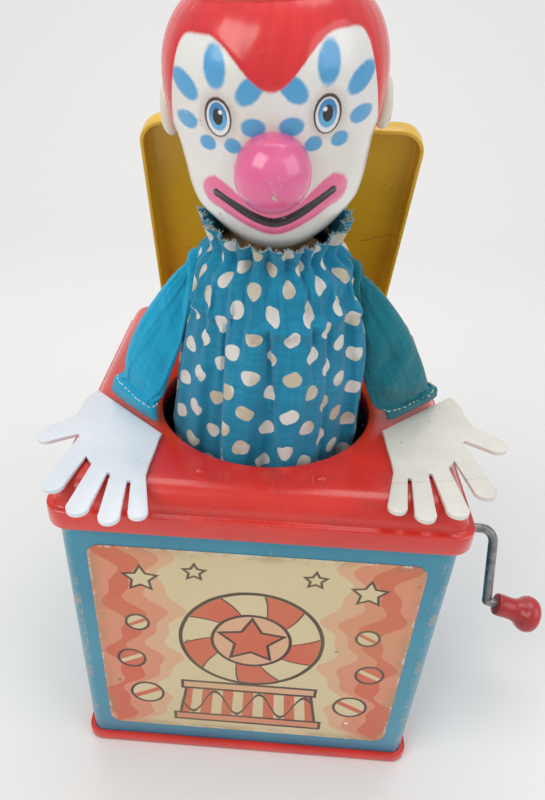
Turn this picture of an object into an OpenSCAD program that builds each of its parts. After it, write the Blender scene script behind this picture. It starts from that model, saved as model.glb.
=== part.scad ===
// Hand-cranked musical jack in the box: a tin box on a plastic tray, a plastic top with a round
// opening and a hinged lid, a pinned-drum movement on the right wall, and a clown on a coil spring.
// X runs across the front, Y to the rear, Z up. The origin is the middle of the tray's underside.

/* [Tin box] */
// Width of the box across its front wall
box_w = 133.5; // [126:0.5:150]
// Depth of the box from front wall to rear wall
box_d = 138; // [132:0.5:155]
// Radius of the box's upright corners
box_corner_r = 4.5; // [3:0.5:7]
// Thickness of the tin wall
tin_t = 0.8; // [0.6:0.1:1.2]
// Height of the top edge of the tin wall above the floor
wrap_top = 132.6; // [125:0.1:140]
// Width of the folded seam down the rear wall
seam_w = 7; // [5:0.5:10]

/* [Tray] */
// Thickness of the tray's bottom
tray_t = 2; // [1.6:0.1:3]
// Height of the band that shows round the foot of the box
tray_band_h = 4.5; // [4:0.1:8]
// How far the band stands out from the tin wall
tray_band_out = 2.1; // [1.6:0.1:3]
// Height of the upstand that holds the tin wall from inside
tray_lip_h = 7; // [4:0.5:12]
// Thickness of that upstand
tray_lip_t = 1.6; // [1.2:0.1:2.4]

/* [Top] */
// How far the rim of the top stands out from the tin wall
rim_out = 3.25; // [3:0.05:4.5]
// Height of the rim band
rim_h = 7.9; // [7:0.1:11]
// How far the rim band hangs below the top edge of the tin wall
rim_drop = 5.2; // [4:0.1:7]
// Height of the raised deck above the rim band
deck_h = 8.9; // [8:0.1:13]
// How far the deck's wall is set back from the rim's face
deck_inset = 2.5; // [2:0.1:4]
// Radius of the deck's soft edge
deck_r = 7.5; // [5:0.5:8]
// Wall thickness of the top
top_t = 2.4; // [2:0.1:3]
// Radius of the round opening
opening_r = 39.2; // [38.6:0.1:42]
// Place of the opening's centre, measured from the middle of the box
opening_y = -13.8; // [-15:0.1:-12]
// Depth of the collar under the opening's edge
collar_h = 4; // [2:0.5:6]
// Radius of the two small stops for the lid's front edge
stop_r = 1.2; // [0.8:0.1:1.6]
// Distance between those stops
stop_span = 40; // [30:1:60]
// Distance of the stops behind the deck's front shoulder
stop_inset = 4.25; // [3:0.25:8]

/* [Lid] */
// Width of the lid
lid_w = 98.5; // [92:0.5:104]
// Distance from the hinge line to the lid's front edge
lid_len = 102.1; // [101:0.1:106]
// Depth of the lid's rim
lid_depth = 8; // [6:0.5:10]
// Wall thickness of the lid
lid_t = 1.6; // [1.2:0.1:2]
// Radius of the lid's corners
lid_corner_r = 9; // [6:0.5:12]
// Angle between the leaning lid and the deck
lid_lean = 68.5; // [67:0.5:90]
// Place of the hinge line behind the middle of the box
hinge_y = 46.5; // [45:0.5:48]
// Radius of the hinge pin
lid_pin_r = 1.2; // [1:0.1:1.5]
// Length of the lid's hinge barrel
barrel_len = 88; // [60:1:90]

/* [Clown] */
// Place of the clown's middle across the box
clown_x = -2; // [-3:0.5:2]
// Distance of the head's centre in front of the middle of the box
head_front = 23.2; // [22:0.1:24]
// Height of the head's widest ring above the floor
head_z = 251.5; // [245:0.5:256]
// Radius of the head at its widest
head_r = 31.2; // [30:0.1:32]
// Height of the face below the widest ring
face_h = 43.5; // [40:0.5:46]
// Wall thickness of the head
head_t = 2.2; // [1.6:0.1:3]
// Radius of the nose
nose_r = 10; // [8:0.5:11]
// How far the nose stands out past the head
nose_out = 7.3; // [6:0.1:8]
// Forward lean of the spring
pop_lean = 6.5; // [6:0.1:7]
// Tilt of the head towards its left shoulder
head_roll = -4; // [-5:0.5:0]
// Radius of the hat's brim
brim_r = 22; // [20:0.5:24]
// Radius of the hat's crown
crown_r = 16; // [12:0.5:17]
// Height of the hat above its brim
crown_h = 13; // [10:0.5:16]

/* [Spring and costume] */
// Mean radius of the spring's coils
spring_r = 22; // [18:0.5:24]
// Radius of the spring's wire
spring_wire_r = 1.1; // [0.8:0.1:1.4]
// Number of turns in the spring
spring_turns = 11; // [8:1:13]
// Radius of the block that the spring stands on
seat_r = 34; // [30:0.5:34]
// Height of that block along the spring's axis
seat_h = 16; // [12:0.5:20]
// Radius of the costume where it passes the opening
costume_r = 35.3; // [34:0.1:35.3]
// Radius of the costume over the chest
chest_r = 29; // [27:0.5:30]
// Thickness of the costume's cloth
cloth_t = 1.4; // [1:0.1:1.8]
// Radius of the neck plug inside the gathered collar
neck_r = 17; // [15:0.5:18]

/* [Arms and hands] */
// Half thickness of a flat sleeve
sleeve_r = 1.6; // [1.2:0.1:1.8]
// Width of the cuff
cuff_w = 27; // [22:0.5:30]
// Thickness of the plastic hand
hand_t = 1.6; // [1.2:0.1:2]
// Radius of a fingertip
finger_r = 4.4; // [4:0.1:4.8]
// Distance of the left wrist inside the deck's side edge
left_wrist_in = 19.5; // [17.5:0.5:21]
// Distance of the left wrist behind the deck's front edge
left_wrist_back = 42.75; // [40:0.25:44]
// Distance of the right wrist inside the deck's side edge
right_wrist_in = 12.7; // [11:0.1:14.5]
// Distance of the right wrist behind the deck's front edge
right_wrist_back = 52.55; // [50:0.05:54]

/* [Crank] */
// Radius of the crank's steel wire
crank_r = 2; // [1.6:0.1:2.4]
// Place of the crank's axis, measured from the middle of the box
crank_y = -10; // [-14:0.5:-8]
// Height of the crank's axis
crank_z = 82; // [76:0.5:88]
// Distance of the crank's arm outside the tin wall
crank_reach = 36; // [26:0.5:42]
// Throw of the crank
crank_throw = 33; // [26:0.5:38]
// Radius of the crank's bends
crank_bend_r = 6; // [5:0.5:8]
// Angle of the arm forward of straight down
crank_angle = 26; // [0:1:45]
// Outward slope of the handle
handle_slope = 15; // [0:1:20]
// Length of the knob
knob_len = 21; // [17:0.5:26]
// Radius of the knob's head
knob_r = 6.6; // [5.5:0.1:8]

/* [Movement] */
// Length of the gap between the movement's two plates
cage_gap = 18.1; // [17.5:0.1:19]
// Thickness of each plate
cage_t = 1.8; // [1.4:0.1:2.2]
// Module of the two gears
gear_module = 0.8; // [0.7:0.05:0.9]
// Teeth on the crank's pinion
pinion_teeth = 12; // [12:1:14]
// Teeth on the drum's gear
drum_teeth = 48; // [44:1:50]
// Direction from the pinion to the drum, below level
drum_dip = 30; // [20:1:40]
// Radius of the drum
drum_r = 10.5; // [9:0.1:11]
// Length of the drum
drum_len = 9.4; // [8:0.1:9.4]
// Number of pins on the drum
drum_pins = 30; // [12:1:40]
// Height of a pin above the drum
pin_h = 0.8; // [0.5:0.1:1]
// Number of comb teeth
comb_teeth = 11; // [7:1:13]
// Thickness of the comb
comb_t = 0.7; // [0.5:0.1:1]

/* [Hidden] */
$fn = 64;
eps = 0.01;
// Clearances: close for parts that only rest together, running for shafts, loose for soft parts
close_gap = 0.15;
run_gap = 0.06;
soft_gap = 0.3;

// Tin box and top, worked out from the driving sizes
wall_x = box_w / 2;
wall_y = box_d / 2;
rim_z = wrap_top - rim_drop;
rim_top = rim_z + rim_h;
deck_z = rim_top + deck_h;
rim_x = wall_x + rim_out;
rim_y = wall_y + rim_out;
deck_x = rim_x - deck_inset;
deck_y = rim_y - deck_inset;
left_wrist = [-(deck_x - left_wrist_in), -(deck_y - left_wrist_back)];
right_wrist = [deck_x - right_wrist_in, -(deck_y - right_wrist_back)];

// Lid: u runs from the hinge to the front edge, w stands off the hinge line
barrel_r = lid_pin_r + 1.8;
hinge_z = deck_z - 1.2;
lid_w0 = deck_z - hinge_z + soft_gap;
lid_w1 = lid_w0 + lid_depth;
tray_u0 = 8;
trough_half = barrel_r + 1.7;
trough_floor = hinge_z - barrel_r - 2.2;
barrel_x = barrel_len / 2;
pin_x = barrel_x + soft_gap + 3.2;
catch_u = 24;
catch_w = 6;
catch_drop = 7;

// Spring axis: a line that leans forward through the head's centre
face_mid_z = head_z - 10.5;
pop_foot_y = -head_front + face_mid_z * tan(pop_lean);
head_low = head_z - face_h;
collar_top = head_low - soft_gap;
neck_top = (head_low - 0.5) / cos(pop_lean);
plug_low = neck_top - 15;
spring_low = seat_h + soft_gap + spring_wire_r;
spring_high = plug_low - soft_gap - spring_wire_r;
opening_level = (deck_z + 2) / cos(pop_lean);

// Cuffs and hands lie on the deck
cuff_z = deck_z + sleeve_r + soft_gap;
cuff_angle = -41;
hand_gap = sleeve_r + soft_gap;
hand_z = deck_z + soft_gap;
// Sleeve stations from the shoulder down: outer edge and inner edge, from the clown's middle
left_stations = [
    [[-29.2, -24, 203], [-33.6, -22, 186]],
    [[-40, -23, 188], [-36, -24, 176]],
    [[-47.5, -21, 174], [-37.5, -27, 163]]
];
right_stations = [
    [[32, -24, 203], [33.5, -22, 186]],
    [[47, -24, 188], [36.5, -24, 176]],
    [[56, -22, 171], [39.5, -26, 163]]
];
// Head outline about its middle, from the chin up: radius in parts of the head's radius, and
// height in parts of the face's height below the middle and of the head's radius above it
head_line = [
    [0, -1], [0.256, -0.982], [0.449, -0.924], [0.609, -0.832], [0.731, -0.726],
    [0.808, -0.611], [0.849, -0.471], [0.872, -0.333], [0.897, -0.218], [0.946, -0.092],
    [0.984, 0.032], [1, 0.192], [0.994, 0.353], [0.962, 0.497], [0.897, 0.635],
    [0.801, 0.76], [0.667, 0.872], [0.481, 0.962], [0.256, 1.016], [0, 1.032]
];
// Fingers from the wrist: root, tip, and the half widths there in parts of the radius
fingers = [
    [[-17, -12.5], [-26.4, -18.7], 1.1, 1.1],
    [[-12.6, -21], [-16.6, -43.5], 0.88, 1],
    [[-4.4, -34], [-6.1, -53], 0.84, 0.98],
    [[2.7, -36], [4.1, -56], 0.77, 0.92],
    [[9.2, -37], [12.2, -53.4], 0.66, 0.86]
];
// Palm outline from the wrist
palm = [
    [-12, 14.5], [-17.8, 10.5], [-20, 4.5], [-20.6, -4.5], [-22.4, -8.6], [-28.8, -14],
    [-25, -18], [-16.5, -17.5], [-8.5, -32.5], [-0.7, -37.4], [6.3, -40.2], [12.1, -39],
    [12.1, -31], [12.6, -24], [12.8, -17], [14, -10]
];

// Crank
wall_in = wall_x - tin_t;
arm_x = wall_x + crank_reach;
handle_start = 4;
handle_pin = knob_len - 5;

// Movement: two plates parallel to the right wall
plate_out = wall_in - 0.25;
cage_x0 = plate_out - cage_t - cage_gap;
axle_r = 1.5;
pinion_r = gear_module * pinion_teeth / 2;
drum_gear_r = gear_module * drum_teeth / 2;
gear_distance = pinion_r + drum_gear_r + 0.03;
drum_y = crank_y + gear_distance * cos(drum_dip);
drum_z = crank_z - gear_distance * sin(drum_dip);
gear_t = 2.2;
gear_x = plate_out - cage_t - 3.9;
drum_x0 = cage_x0 + 1.9;
cam_x0 = cage_x0 + 0.4;
lever_t = 1.1;
comb_reach = drum_r + pin_h + 0.3;
comb_z = drum_z + 4.2;
comb_tip_y = drum_y + sqrt(comb_reach * comb_reach - 4.2 * 4.2);
comb_len = 16.5;
bridge_y = comb_tip_y + 10.2;
cage_y0 = crank_y - 18;
cage_y1 = comb_tip_y + comb_len + 1.5;
cage_z0 = drum_z - 22;
cage_z1 = crank_z + 22;
pillar_r = 2.2;
pillars = [[cage_y0 + 4, cage_z0 + 4], [cage_y1 - 4, cage_z0 + 4],
           [cage_y0 + 4, cage_z1 - 4], [cage_y1 - 4, cage_z1 - 4]];
screw_r = 1.5;
lever_y = drum_y + 15.2;
lever_z = drum_z + 22;
lever_top = deck_z - top_t - 0.6;
cam_tip = 8.5;
cam_w = 3;
tail_reach = sqrt(cam_tip * cam_tip + cam_w * cam_w / 4) + 0.5;
tail_y = drum_y + tail_reach * cos(45);
tail_z = drum_z + tail_reach * sin(45);
spring_arm = 12;
latch_spring_y = lever_y + spring_arm;
latch_spring_low = lever_z - 14;
latch_spring_r = 1.5;
latch_wire_r = 0.3;
latch_pivot_r = 1.2;

// Shapes used by several parts

module rounded_plate(w, d, h, r) {
    translate([-w / 2 + r, -d / 2, 0])
        cube([w - 2 * r, d, h]);
    translate([-w / 2, -d / 2 + r, 0])
        cube([w, d - 2 * r, h]);
    for (sx = [-1, 1], sy = [-1, 1])
        translate([sx * (w / 2 - r), sy * (d / 2 - r), 0])
            cylinder(r = r, h = h);
}

// Solid block with upright round corners and a soft top edge
module soft_block(w, d, z0, z1, r) {
    hull() {
        for (sx = [-1, 1], sy = [-1, 1])
            translate([sx * (w / 2 - r), sy * (d / 2 - r), 0]) {
                translate([0, 0, z0])
                    cylinder(r = r, h = 1, $fn = 32);
                translate([0, 0, z1 - r])
                    sphere(r = r, $fn = 32);
            }
    }
}

// Turns a shape drawn in X and Y so that it stands in Y and Z and is extruded along X
module along_x(x0) {
    translate([x0, 0, 0])
        rotate([90, 0, 90])
            children();
}

module rod_x(x0, x1, y, z, r) {
    translate([x0, y, z])
        rotate([0, 90, 0])
            cylinder(r = r, h = x1 - x0);
}

// Places a shape on the leaning axis that the clown travels along
module on_pop_axis() {
    translate([clown_x, pop_foot_y, 0])
        rotate([pop_lean, 0, 0])
            children();
}

// Tube of round wire wound on a radius from z0 to z1
function coil_point(t, turns, r, z0, z1) =
    [r * cos(360 * turns * t), r * sin(360 * turns * t), z0 + (z1 - z0) * t];
function coil_ring(t, turns, r, z0, z1, wire, sides) =
    let (p = coil_point(t, turns, r, z0, z1), a = 360 * turns * t,
         out = [cos(a), sin(a), 0], up = [0, 0, 1])
    [for (k = [0:sides - 1]) p + wire * (cos(360 * k / sides) * out + sin(360 * k / sides) * up)];

module wire_coil(turns, r, z0, z1, wire, per_turn, sides) {
    steps = turns * per_turn;
    rings = [for (i = [0:steps]) coil_ring(i / steps, turns, r, z0, z1, wire, sides)];
    points = [for (ring = rings, p = ring) p];
    side_faces = [for (i = [0:steps - 1], k = [0:sides - 1])
        [i * sides + k, (i + 1) * sides + k,
         (i + 1) * sides + (k + 1) % sides, i * sides + (k + 1) % sides]];
    first = [for (k = [0:sides - 1]) k];
    last = [for (k = [0:sides - 1]) steps * sides + sides - 1 - k];
    polyhedron(points = points, faces = concat(side_faces, [first, last]));
}

// Involute gear outline; the first tooth points along +X
pressure = 25;
backlash = 0.16;
function involute(a) = tan(a) - a * PI / 180;
function flank_angle(r, base, half) =
    half - (involute(acos(min(1, base / r))) - involute(pressure)) * 180 / PI;
function tooth_points(teeth, n) =
    let (rp = gear_module * teeth / 2, base = rp * cos(pressure), tip = rp + 0.8 * gear_module,
         root = rp - 1.1 * gear_module, half = 90 / teeth - backlash / 2 / rp * 180 / PI,
         low = max(base, root), radii = [for (i = [0:4]) low + (tip - low) * i / 4], mid = 360 * n / teeth)
    concat([root * [cos(mid - flank_angle(low, base, half)), sin(mid - flank_angle(low, base, half))]],
           [for (r = radii) let (a = mid - flank_angle(r, base, half)) r * [cos(a), sin(a)]],
           [for (i = [4:-1:0])
                let (r = radii[i], a = mid + flank_angle(r, base, half)) r * [cos(a), sin(a)]],
           [root * [cos(mid + flank_angle(low, base, half)), sin(mid + flank_angle(low, base, half))]]);

module gear_plate(teeth, thickness, bore_r) {
    difference() {
        linear_extrude(thickness)
            polygon([for (n = [0:teeth - 1], p = tooth_points(teeth, n)) p]);
        translate([0, 0, -1])
            cylinder(r = bore_r, h = thickness + 2);
    }
}

// Box

module base_tray() {
    band_x = wall_x + tray_band_out;
    band_y = wall_y + tray_band_out;
    seat_x = wall_x + close_gap;
    seat_y = wall_y + close_gap;
    lip_x = wall_x - tin_t - close_gap;
    lip_y = wall_y - tin_t - close_gap;
    color("firebrick") {
        difference() {
            rounded_plate(2 * band_x, 2 * band_y, tray_band_h, box_corner_r + tray_band_out);
            translate([0, 0, tray_t])
                rounded_plate(2 * seat_x, 2 * seat_y, tray_band_h, box_corner_r + close_gap);
        }
        difference() {
            translate([0, 0, tray_t - eps])
                rounded_plate(2 * lip_x, 2 * lip_y, tray_lip_h + eps, box_corner_r - tin_t - close_gap);
            translate([0, 0, tray_t - 2 * eps])
                rounded_plate(2 * (lip_x - tray_lip_t), 2 * (lip_y - tray_lip_t), tray_lip_h + 1,
                              box_corner_r - tin_t - tray_lip_t + 0.5);
        }
    }
}

module tin_wrap() {
    color("steelblue")
        difference() {
            union() {
                translate([0, 0, tray_t])
                    rounded_plate(box_w, box_d, wrap_top - tray_t, box_corner_r);
                // folded seam down the middle of the rear wall
                translate([-seam_w / 2, wall_y - tin_t, tray_band_h + 1])
                    cube([seam_w, tin_t + 0.7, rim_z - tray_band_h - 2]);
            }
            translate([0, 0, tray_t - 1])
                rounded_plate(box_w - 2 * tin_t, box_d - 2 * tin_t, wrap_top, box_corner_r - tin_t);
            rod_x(wall_x - 3, wall_x + 3, crank_y, crank_z, 2 * crank_r);
            for (p = [pillars[0], pillars[3]])
                rod_x(wall_x - 3, wall_x + 3, p[0], p[1], screw_r + close_gap);
        }
}

module front_label() {
    label_t = 0.3;
    label_w = box_w * 0.865;
    label_h = (rim_z - tray_band_h) * 0.865;
    color("wheat")
        translate([0, -wall_y, (rim_z + tray_band_h) / 2 - 0.6])
            rotate([90, 0, 0])
                rounded_plate(label_w, label_h, label_t, 5);
}

module top_cap() {
    skirt_x = wall_x + 2 * close_gap;
    skirt_y = wall_y + 2 * close_gap;
    trough_x = barrel_x + soft_gap;
    color("red")
        difference() {
            union() {
                difference() {
                    union() {
                        translate([0, 0, rim_z])
                            rounded_plate(2 * rim_x, 2 * rim_y, rim_h, box_corner_r + rim_out);
                        soft_block(2 * deck_x, 2 * deck_y, rim_top - 2, deck_z, deck_r);
                    }
                    translate([0, 0, rim_z - 1])
                        rounded_plate(2 * skirt_x, 2 * skirt_y, wrap_top - rim_z + 1 + close_gap,
                                      box_corner_r + 2 * close_gap);
                    soft_block(2 * (deck_x - top_t), 2 * (deck_y - top_t),
                               wrap_top - 1, deck_z - top_t, deck_r - top_t);
                }
                // collar under the opening
                translate([0, opening_y, deck_z - top_t - collar_h])
                    cylinder(r = opening_r + 2, h = collar_h + 1);
                // pocket for the hinge barrel
                translate([-trough_x - 6, hinge_y - trough_half - 2, trough_floor - 2])
                    cube([2 * trough_x + 12, 2 * trough_half + 4, deck_z - top_t / 2 - trough_floor + 2]);
                for (s = [-1, 1])
                    translate([s * stop_span / 2, -(deck_y - deck_r - stop_inset), deck_z])
                        sphere(r = stop_r, $fn = 24);
            }
            translate([0, opening_y, deck_z - 30])
                cylinder(r = opening_r, h = 60);
            translate([-trough_x, hinge_y - trough_half, trough_floor])
                cube([2 * trough_x, 2 * trough_half, 30]);
            rod_x(-pin_x, pin_x, hinge_y, hinge_z, lid_pin_r);
            // slot for the lid's catch
            translate([lid_w / 2 - lid_t - 3.2, hinge_y - catch_u - catch_w / 2 - 1.5, deck_z - 10])
                cube([lid_t + 4, catch_w + 3, 20]);
        }
}

// Lid, drawn closed about the hinge line and then leaned back
module lid() {
    color("gold")
        translate([0, hinge_y, hinge_z])
            rotate([-lid_lean, 0, 0])
                difference() {
                    union() {
                        translate([0, -(tray_u0 + lid_len) / 2, lid_w0])
                            difference() {
                                rounded_plate(lid_w, lid_len - tray_u0, lid_depth, lid_corner_r);
                                translate([0, 0, -1])
                                    rounded_plate(lid_w - 2 * lid_t, lid_len - tray_u0 - 2 * lid_t,
                                                  lid_depth - lid_t + 1, lid_corner_r - lid_t);
                            }
                        rod_x(-barrel_x, barrel_x, 0, 0, barrel_r);
                        // web between barrel and tray
                        translate([-barrel_x + 6, -tray_u0 - lid_t, lid_w0])
                            cube([barrel_len - 12, tray_u0 + lid_t, barrel_r - lid_w0 + 0.2]);
                        // catch that the latch holds
                        translate([lid_w / 2 - lid_t - 2.2, -catch_u - catch_w / 2, lid_w0 - catch_drop])
                            cube([2.2 + lid_t / 2, catch_w, catch_drop + lid_depth - 1]);
                    }
                    rod_x(-barrel_x - 1, barrel_x + 1, 0, 0, lid_pin_r + run_gap);
                    // notch in the catch
                    translate([lid_w / 2 - lid_t - 5, -catch_u - catch_w / 2 - 2, lid_w0 - catch_drop + 2])
                        cube([10, 4.4, 2.6]);
                }
}

module lid_pin() {
    color("silver")
        rod_x(-pin_x, pin_x, hinge_y, hinge_z, lid_pin_r);
}

// Crank

module crank_bush() {
    color("ivory")
        difference() {
            union() {
                rod_x(wall_x, wall_x + 1.8, crank_y, crank_z, 2 * crank_r + 2.6);
                rod_x(wall_in, wall_x + 1, crank_y, crank_z, 2 * crank_r - close_gap);
            }
            rod_x(wall_x - 6, wall_x + 6, crank_y, crank_z, crank_r + run_gap);
        }
}

// Quarter bend of the crank's wire in the plane of X and -Z
module wire_bend(sweep) {
    rotate([90, 0, 0])
        rotate_extrude(angle = sweep)
            translate([crank_bend_r, 0])
                circle(r = crank_r);
}

// Places the handle's axis at the end of the arm
module on_handle() {
    translate([arm_x, crank_y, crank_z])
        rotate([-crank_angle, 0, 0])
            translate([0, 0, -crank_throw])
                rotate([0, handle_slope, 0])
                    children();
}

module crank() {
    color("dimgray") {
        rod_x(cage_x0 - cage_t + 0.2, arm_x - crank_bend_r, crank_y, crank_z, crank_r);
        translate([arm_x, crank_y, crank_z])
            rotate([-crank_angle, 0, 0]) {
                translate([-crank_bend_r, 0, -crank_bend_r])
                    rotate([90, 0, 0])
                        rotate_extrude(angle = 90)
                            translate([crank_bend_r, 0])
                                circle(r = crank_r);
                translate([0, 0, -crank_throw])
                    cylinder(r = crank_r, h = crank_throw - crank_bend_r);
                translate([0, 0, -crank_throw])
                    sphere(r = crank_r);
            }
        on_handle()
            rotate([0, 90, 0])
                cylinder(r = crank_r, h = handle_start + handle_pin);
    }
}

module crank_knob() {
    stem_r = knob_r * 0.68;
    color("crimson")
        on_handle()
            rotate([0, 90, 0])
                difference() {
                    rotate_extrude()
                        polygon([
                            [0, handle_start], [stem_r * 0.85, handle_start], [stem_r, handle_start + 1.2],
                            [stem_r * 0.86, handle_start + knob_len * 0.35],
                            [stem_r * 0.95, handle_start + knob_len * 0.48],
                            [knob_r * 0.9, handle_start + knob_len * 0.56],
                            [knob_r, handle_start + knob_len * 0.66],
                            [knob_r * 0.98, handle_start + knob_len * 0.84],
                            [knob_r * 0.76, handle_start + knob_len * 0.95],
                            [knob_r * 0.4, handle_start + knob_len], [0, handle_start + knob_len]
                        ]);
                    translate([0, 0, handle_start - 1])
                        cylinder(r = crank_r + run_gap, h = handle_pin + 1.3);
                }
}

module crank_pinion() {
    color("goldenrod")
        translate([0, crank_y, crank_z])
            along_x(gear_x - 0.9)
                rotate([0, 0, -drum_dip + 180 / pinion_teeth])
                    gear_plate(pinion_teeth, gear_t + 1.8, crank_r);
}

// Movement

module movement_frame() {
    plate_y = (cage_y0 + cage_y1) / 2;
    plate_z = (cage_z0 + cage_z1) / 2;
    color("lightgray")
        difference() {
            union() {
                for (x = [cage_x0 - cage_t, plate_out - cage_t])
                    translate([0, plate_y, plate_z])
                        along_x(x)
                            rounded_plate(cage_y1 - cage_y0, cage_z1 - cage_z0, cage_t, 4);
                for (p = pillars)
                    rod_x(cage_x0 - eps, plate_out - cage_t + eps, p[0], p[1], pillar_r);
                // bridge that carries the comb
                translate([cage_x0 - eps, bridge_y, comb_z - 5])
                    cube([cage_gap + 2 * eps, cage_y1 - bridge_y - 1, 5]);
                // post for the latch spring
                rod_x(cage_x0 - eps, cage_x0 + 5, latch_spring_y,
                      latch_spring_low - soft_gap - 0.8 - latch_wire_r, 0.8);
            }
            rod_x(cage_x0 - cage_t - 1, wall_x, crank_y, crank_z, crank_r + run_gap);
            rod_x(cage_x0 - cage_t - 1, wall_x, drum_y, drum_z, axle_r + run_gap);
            rod_x(cage_x0 - cage_t - 1, cage_x0 + 1, lever_y, lever_z, latch_pivot_r);
            for (p = [pillars[0], pillars[3]])
                rod_x(plate_out - 9, wall_x, p[0], p[1], screw_r);
        }
}

module movement_screws() {
    color("silver")
        for (p = [pillars[0], pillars[3]]) {
            rod_x(plate_out - 8, wall_x + 0.5, p[0], p[1], screw_r);
            difference() {
                rod_x(wall_x, wall_x + 1.6, p[0], p[1], 2 * screw_r);
                translate([wall_x + 1, p[0] - 4, p[1] - 0.35])
                    cube([2, 8, 0.7]);
            }
        }
}

module drum_axle() {
    color("silver")
        rod_x(cage_x0 - cage_t + 0.2, plate_out - 0.2, drum_y, drum_z, axle_r);
}

module music_drum() {
    color("goldenrod")
        translate([drum_x0, drum_y, drum_z])
            rotate([0, 90, 0])
                difference() {
                    union() {
                        cylinder(r = drum_r, h = drum_len);
                        for (i = [0:drum_pins - 1])
                            translate([0, 0, drum_len * ((i * 7) % comb_teeth + 0.5) / comb_teeth])
                                rotate([0, 90, 360 * i / drum_pins + 3])
                                    translate([0, 0, drum_r - 1])
                                        cylinder(r = 0.3, h = 1 + pin_h, $fn = 16);
                    }
                    translate([0, 0, -1])
                        cylinder(r = axle_r, h = drum_len + 2);
                }
}

module drum_gear() {
    color("darkgoldenrod")
        translate([0, drum_y, drum_z])
            along_x(gear_x)
                rotate([0, 0, 180 - drum_dip])
                    gear_plate(drum_teeth, gear_t, axle_r);
}

module release_cam() {
    cam_t = lever_t;
    color("silver")
        translate([cam_x0, drum_y, drum_z])
            rotate([0, 90, 0])
                difference() {
                    union() {
                        cylinder(r = 5, h = cam_t);
                        rotate([0, 0, 200])
                            translate([0, -cam_w / 2, 0])
                                cube([cam_tip, cam_w, cam_t]);
                    }
                    translate([0, 0, -1])
                        cylinder(r = axle_r, h = cam_t + 2);
                }
}

module comb() {
    pitch = drum_len / comb_teeth;
    color("gainsboro")
        difference() {
            translate([drum_x0, comb_tip_y, comb_z])
                cube([drum_len, comb_len, comb_t]);
            for (i = [1:comb_teeth - 1])
                translate([drum_x0 + i * pitch - 0.1, comb_tip_y - 1, comb_z - 1])
                    cube([0.2, 10.5, comb_t + 2]);
            for (s = [0.25, 0.75])
                translate([drum_x0 + s * drum_len, comb_tip_y + comb_len - 3.2, comb_z - 1])
                    cylinder(r = 1, h = comb_t + 2);
        }
}

module comb_screws() {
    color("silver")
        for (s = [0.25, 0.75])
            translate([drum_x0 + s * drum_len, comb_tip_y + comb_len - 3.2, comb_z + comb_t])
                difference() {
                    union() {
                        cylinder(r = 1.8, h = 1.2);
                        translate([0, 0, -comb_t])
                            cylinder(r = 0.9, h = comb_t + 0.5);
                    }
                    translate([-3, -0.25, 0.7])
                        cube([6, 0.5, 1]);
                }
}

// Latch lever: a flat bell crank with a hook above, a tail by the cam and an arm for its spring
module latch_lever() {
    hook_y = hinge_y - catch_u - catch_w / 2;
    bar_y = hook_y - 6;
    color("darkgray")
        difference() {
            union() {
                rod_x(cam_x0, cam_x0 + lever_t, lever_y, lever_z, 3);
                along_x(cam_x0)
                    linear_extrude(lever_t)
                        polygon([
                            [lever_y - 2.6, lever_z - 1], [lever_y + 2.6, lever_z + 1],
                            [bar_y + 3.6, lever_top - 1.5], [hook_y + 1.6, lever_top - 1.5],
                            [hook_y + 0.4, lever_top], [bar_y, lever_top], [bar_y, lever_top - 5]
                        ]);
                along_x(cam_x0)
                    linear_extrude(lever_t)
                        polygon([
                            [lever_y + 2.6, lever_z - 1], [tail_y + 2.4, tail_z - 0.4], [tail_y, tail_z],
                            [lever_y - 2.6, lever_z + 1]
                        ]);
                translate([cam_x0, lever_y, lever_z - 1.4])
                    cube([lever_t, spring_arm + 1.4, 2.8]);
                rod_x(cam_x0, cam_x0 + 4.6, latch_spring_y, lever_z, 0.7);
            }
            rod_x(cam_x0 - 1, cam_x0 + 3, lever_y, lever_z, latch_pivot_r + run_gap);
        }
}

module latch_pivot() {
    color("silver") {
        rod_x(cage_x0 - cage_t, cam_x0 + lever_t + 1, lever_y, lever_z, latch_pivot_r);
        rod_x(cam_x0 + lever_t + 0.2, cam_x0 + lever_t + 1, lever_y, lever_z, latch_pivot_r + 1);
    }
}

module latch_spring() {
    color("silver")
        translate([cam_x0 + 2.9, latch_spring_y, 0])
            wire_coil(7, latch_spring_r, latch_spring_low,
                      lever_z - 0.7 - soft_gap - latch_wire_r - 0.1, latch_wire_r, 12, 6);
}

// Clown

module spring_seat() {
    color("burlywood")
        difference() {
            on_pop_axis()
                translate([0, 0, -6])
                    cylinder(r = seat_r, h = seat_h + 6);
            translate([-100, -100, -100 + tray_t])
                cube([200, 200, 100]);
        }
}

module pop_spring() {
    color("silver")
        on_pop_axis()
            wire_coil(spring_turns, spring_r, spring_low, spring_high, spring_wire_r, 20, 8);
}

module neck_plug() {
    color("burlywood")
        on_pop_axis() {
            translate([0, 0, plug_low])
                cylinder(r = spring_r + spring_wire_r + 1, h = 3);
            translate([0, 0, plug_low + 3 - eps])
                cylinder(r = neck_r, h = neck_top - plug_low - 3);
            translate([0, 0, neck_top - 1])
                cylinder(r = neck_r * 0.5, h = 14);
        }
}

// Cloth tube from the block up to the gathered collar
module costume() {
    bottom = seat_h * 0.55;
    top = neck_top - 1.6;
    profile = [
        [seat_r + soft_gap, bottom], [seat_r + soft_gap, seat_h + 2],
        [costume_r - cloth_t, seat_h + 40], [costume_r - cloth_t, opening_level],
        [costume_r - cloth_t - 2.6, opening_level + 30], [chest_r - cloth_t, top - 7.5],
        [neck_r + soft_gap, top - 2], [neck_r + soft_gap, top]
    ];
    inner = profile;
    outer = [for (i = [len(profile) - 1:-1:0]) profile[i] + [cloth_t, i > 4 && i < 7 ? 0.9 : 0]];
    color("teal")
        on_pop_axis()
            rotate_extrude()
                polygon(concat(inner, outer));
}

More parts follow.
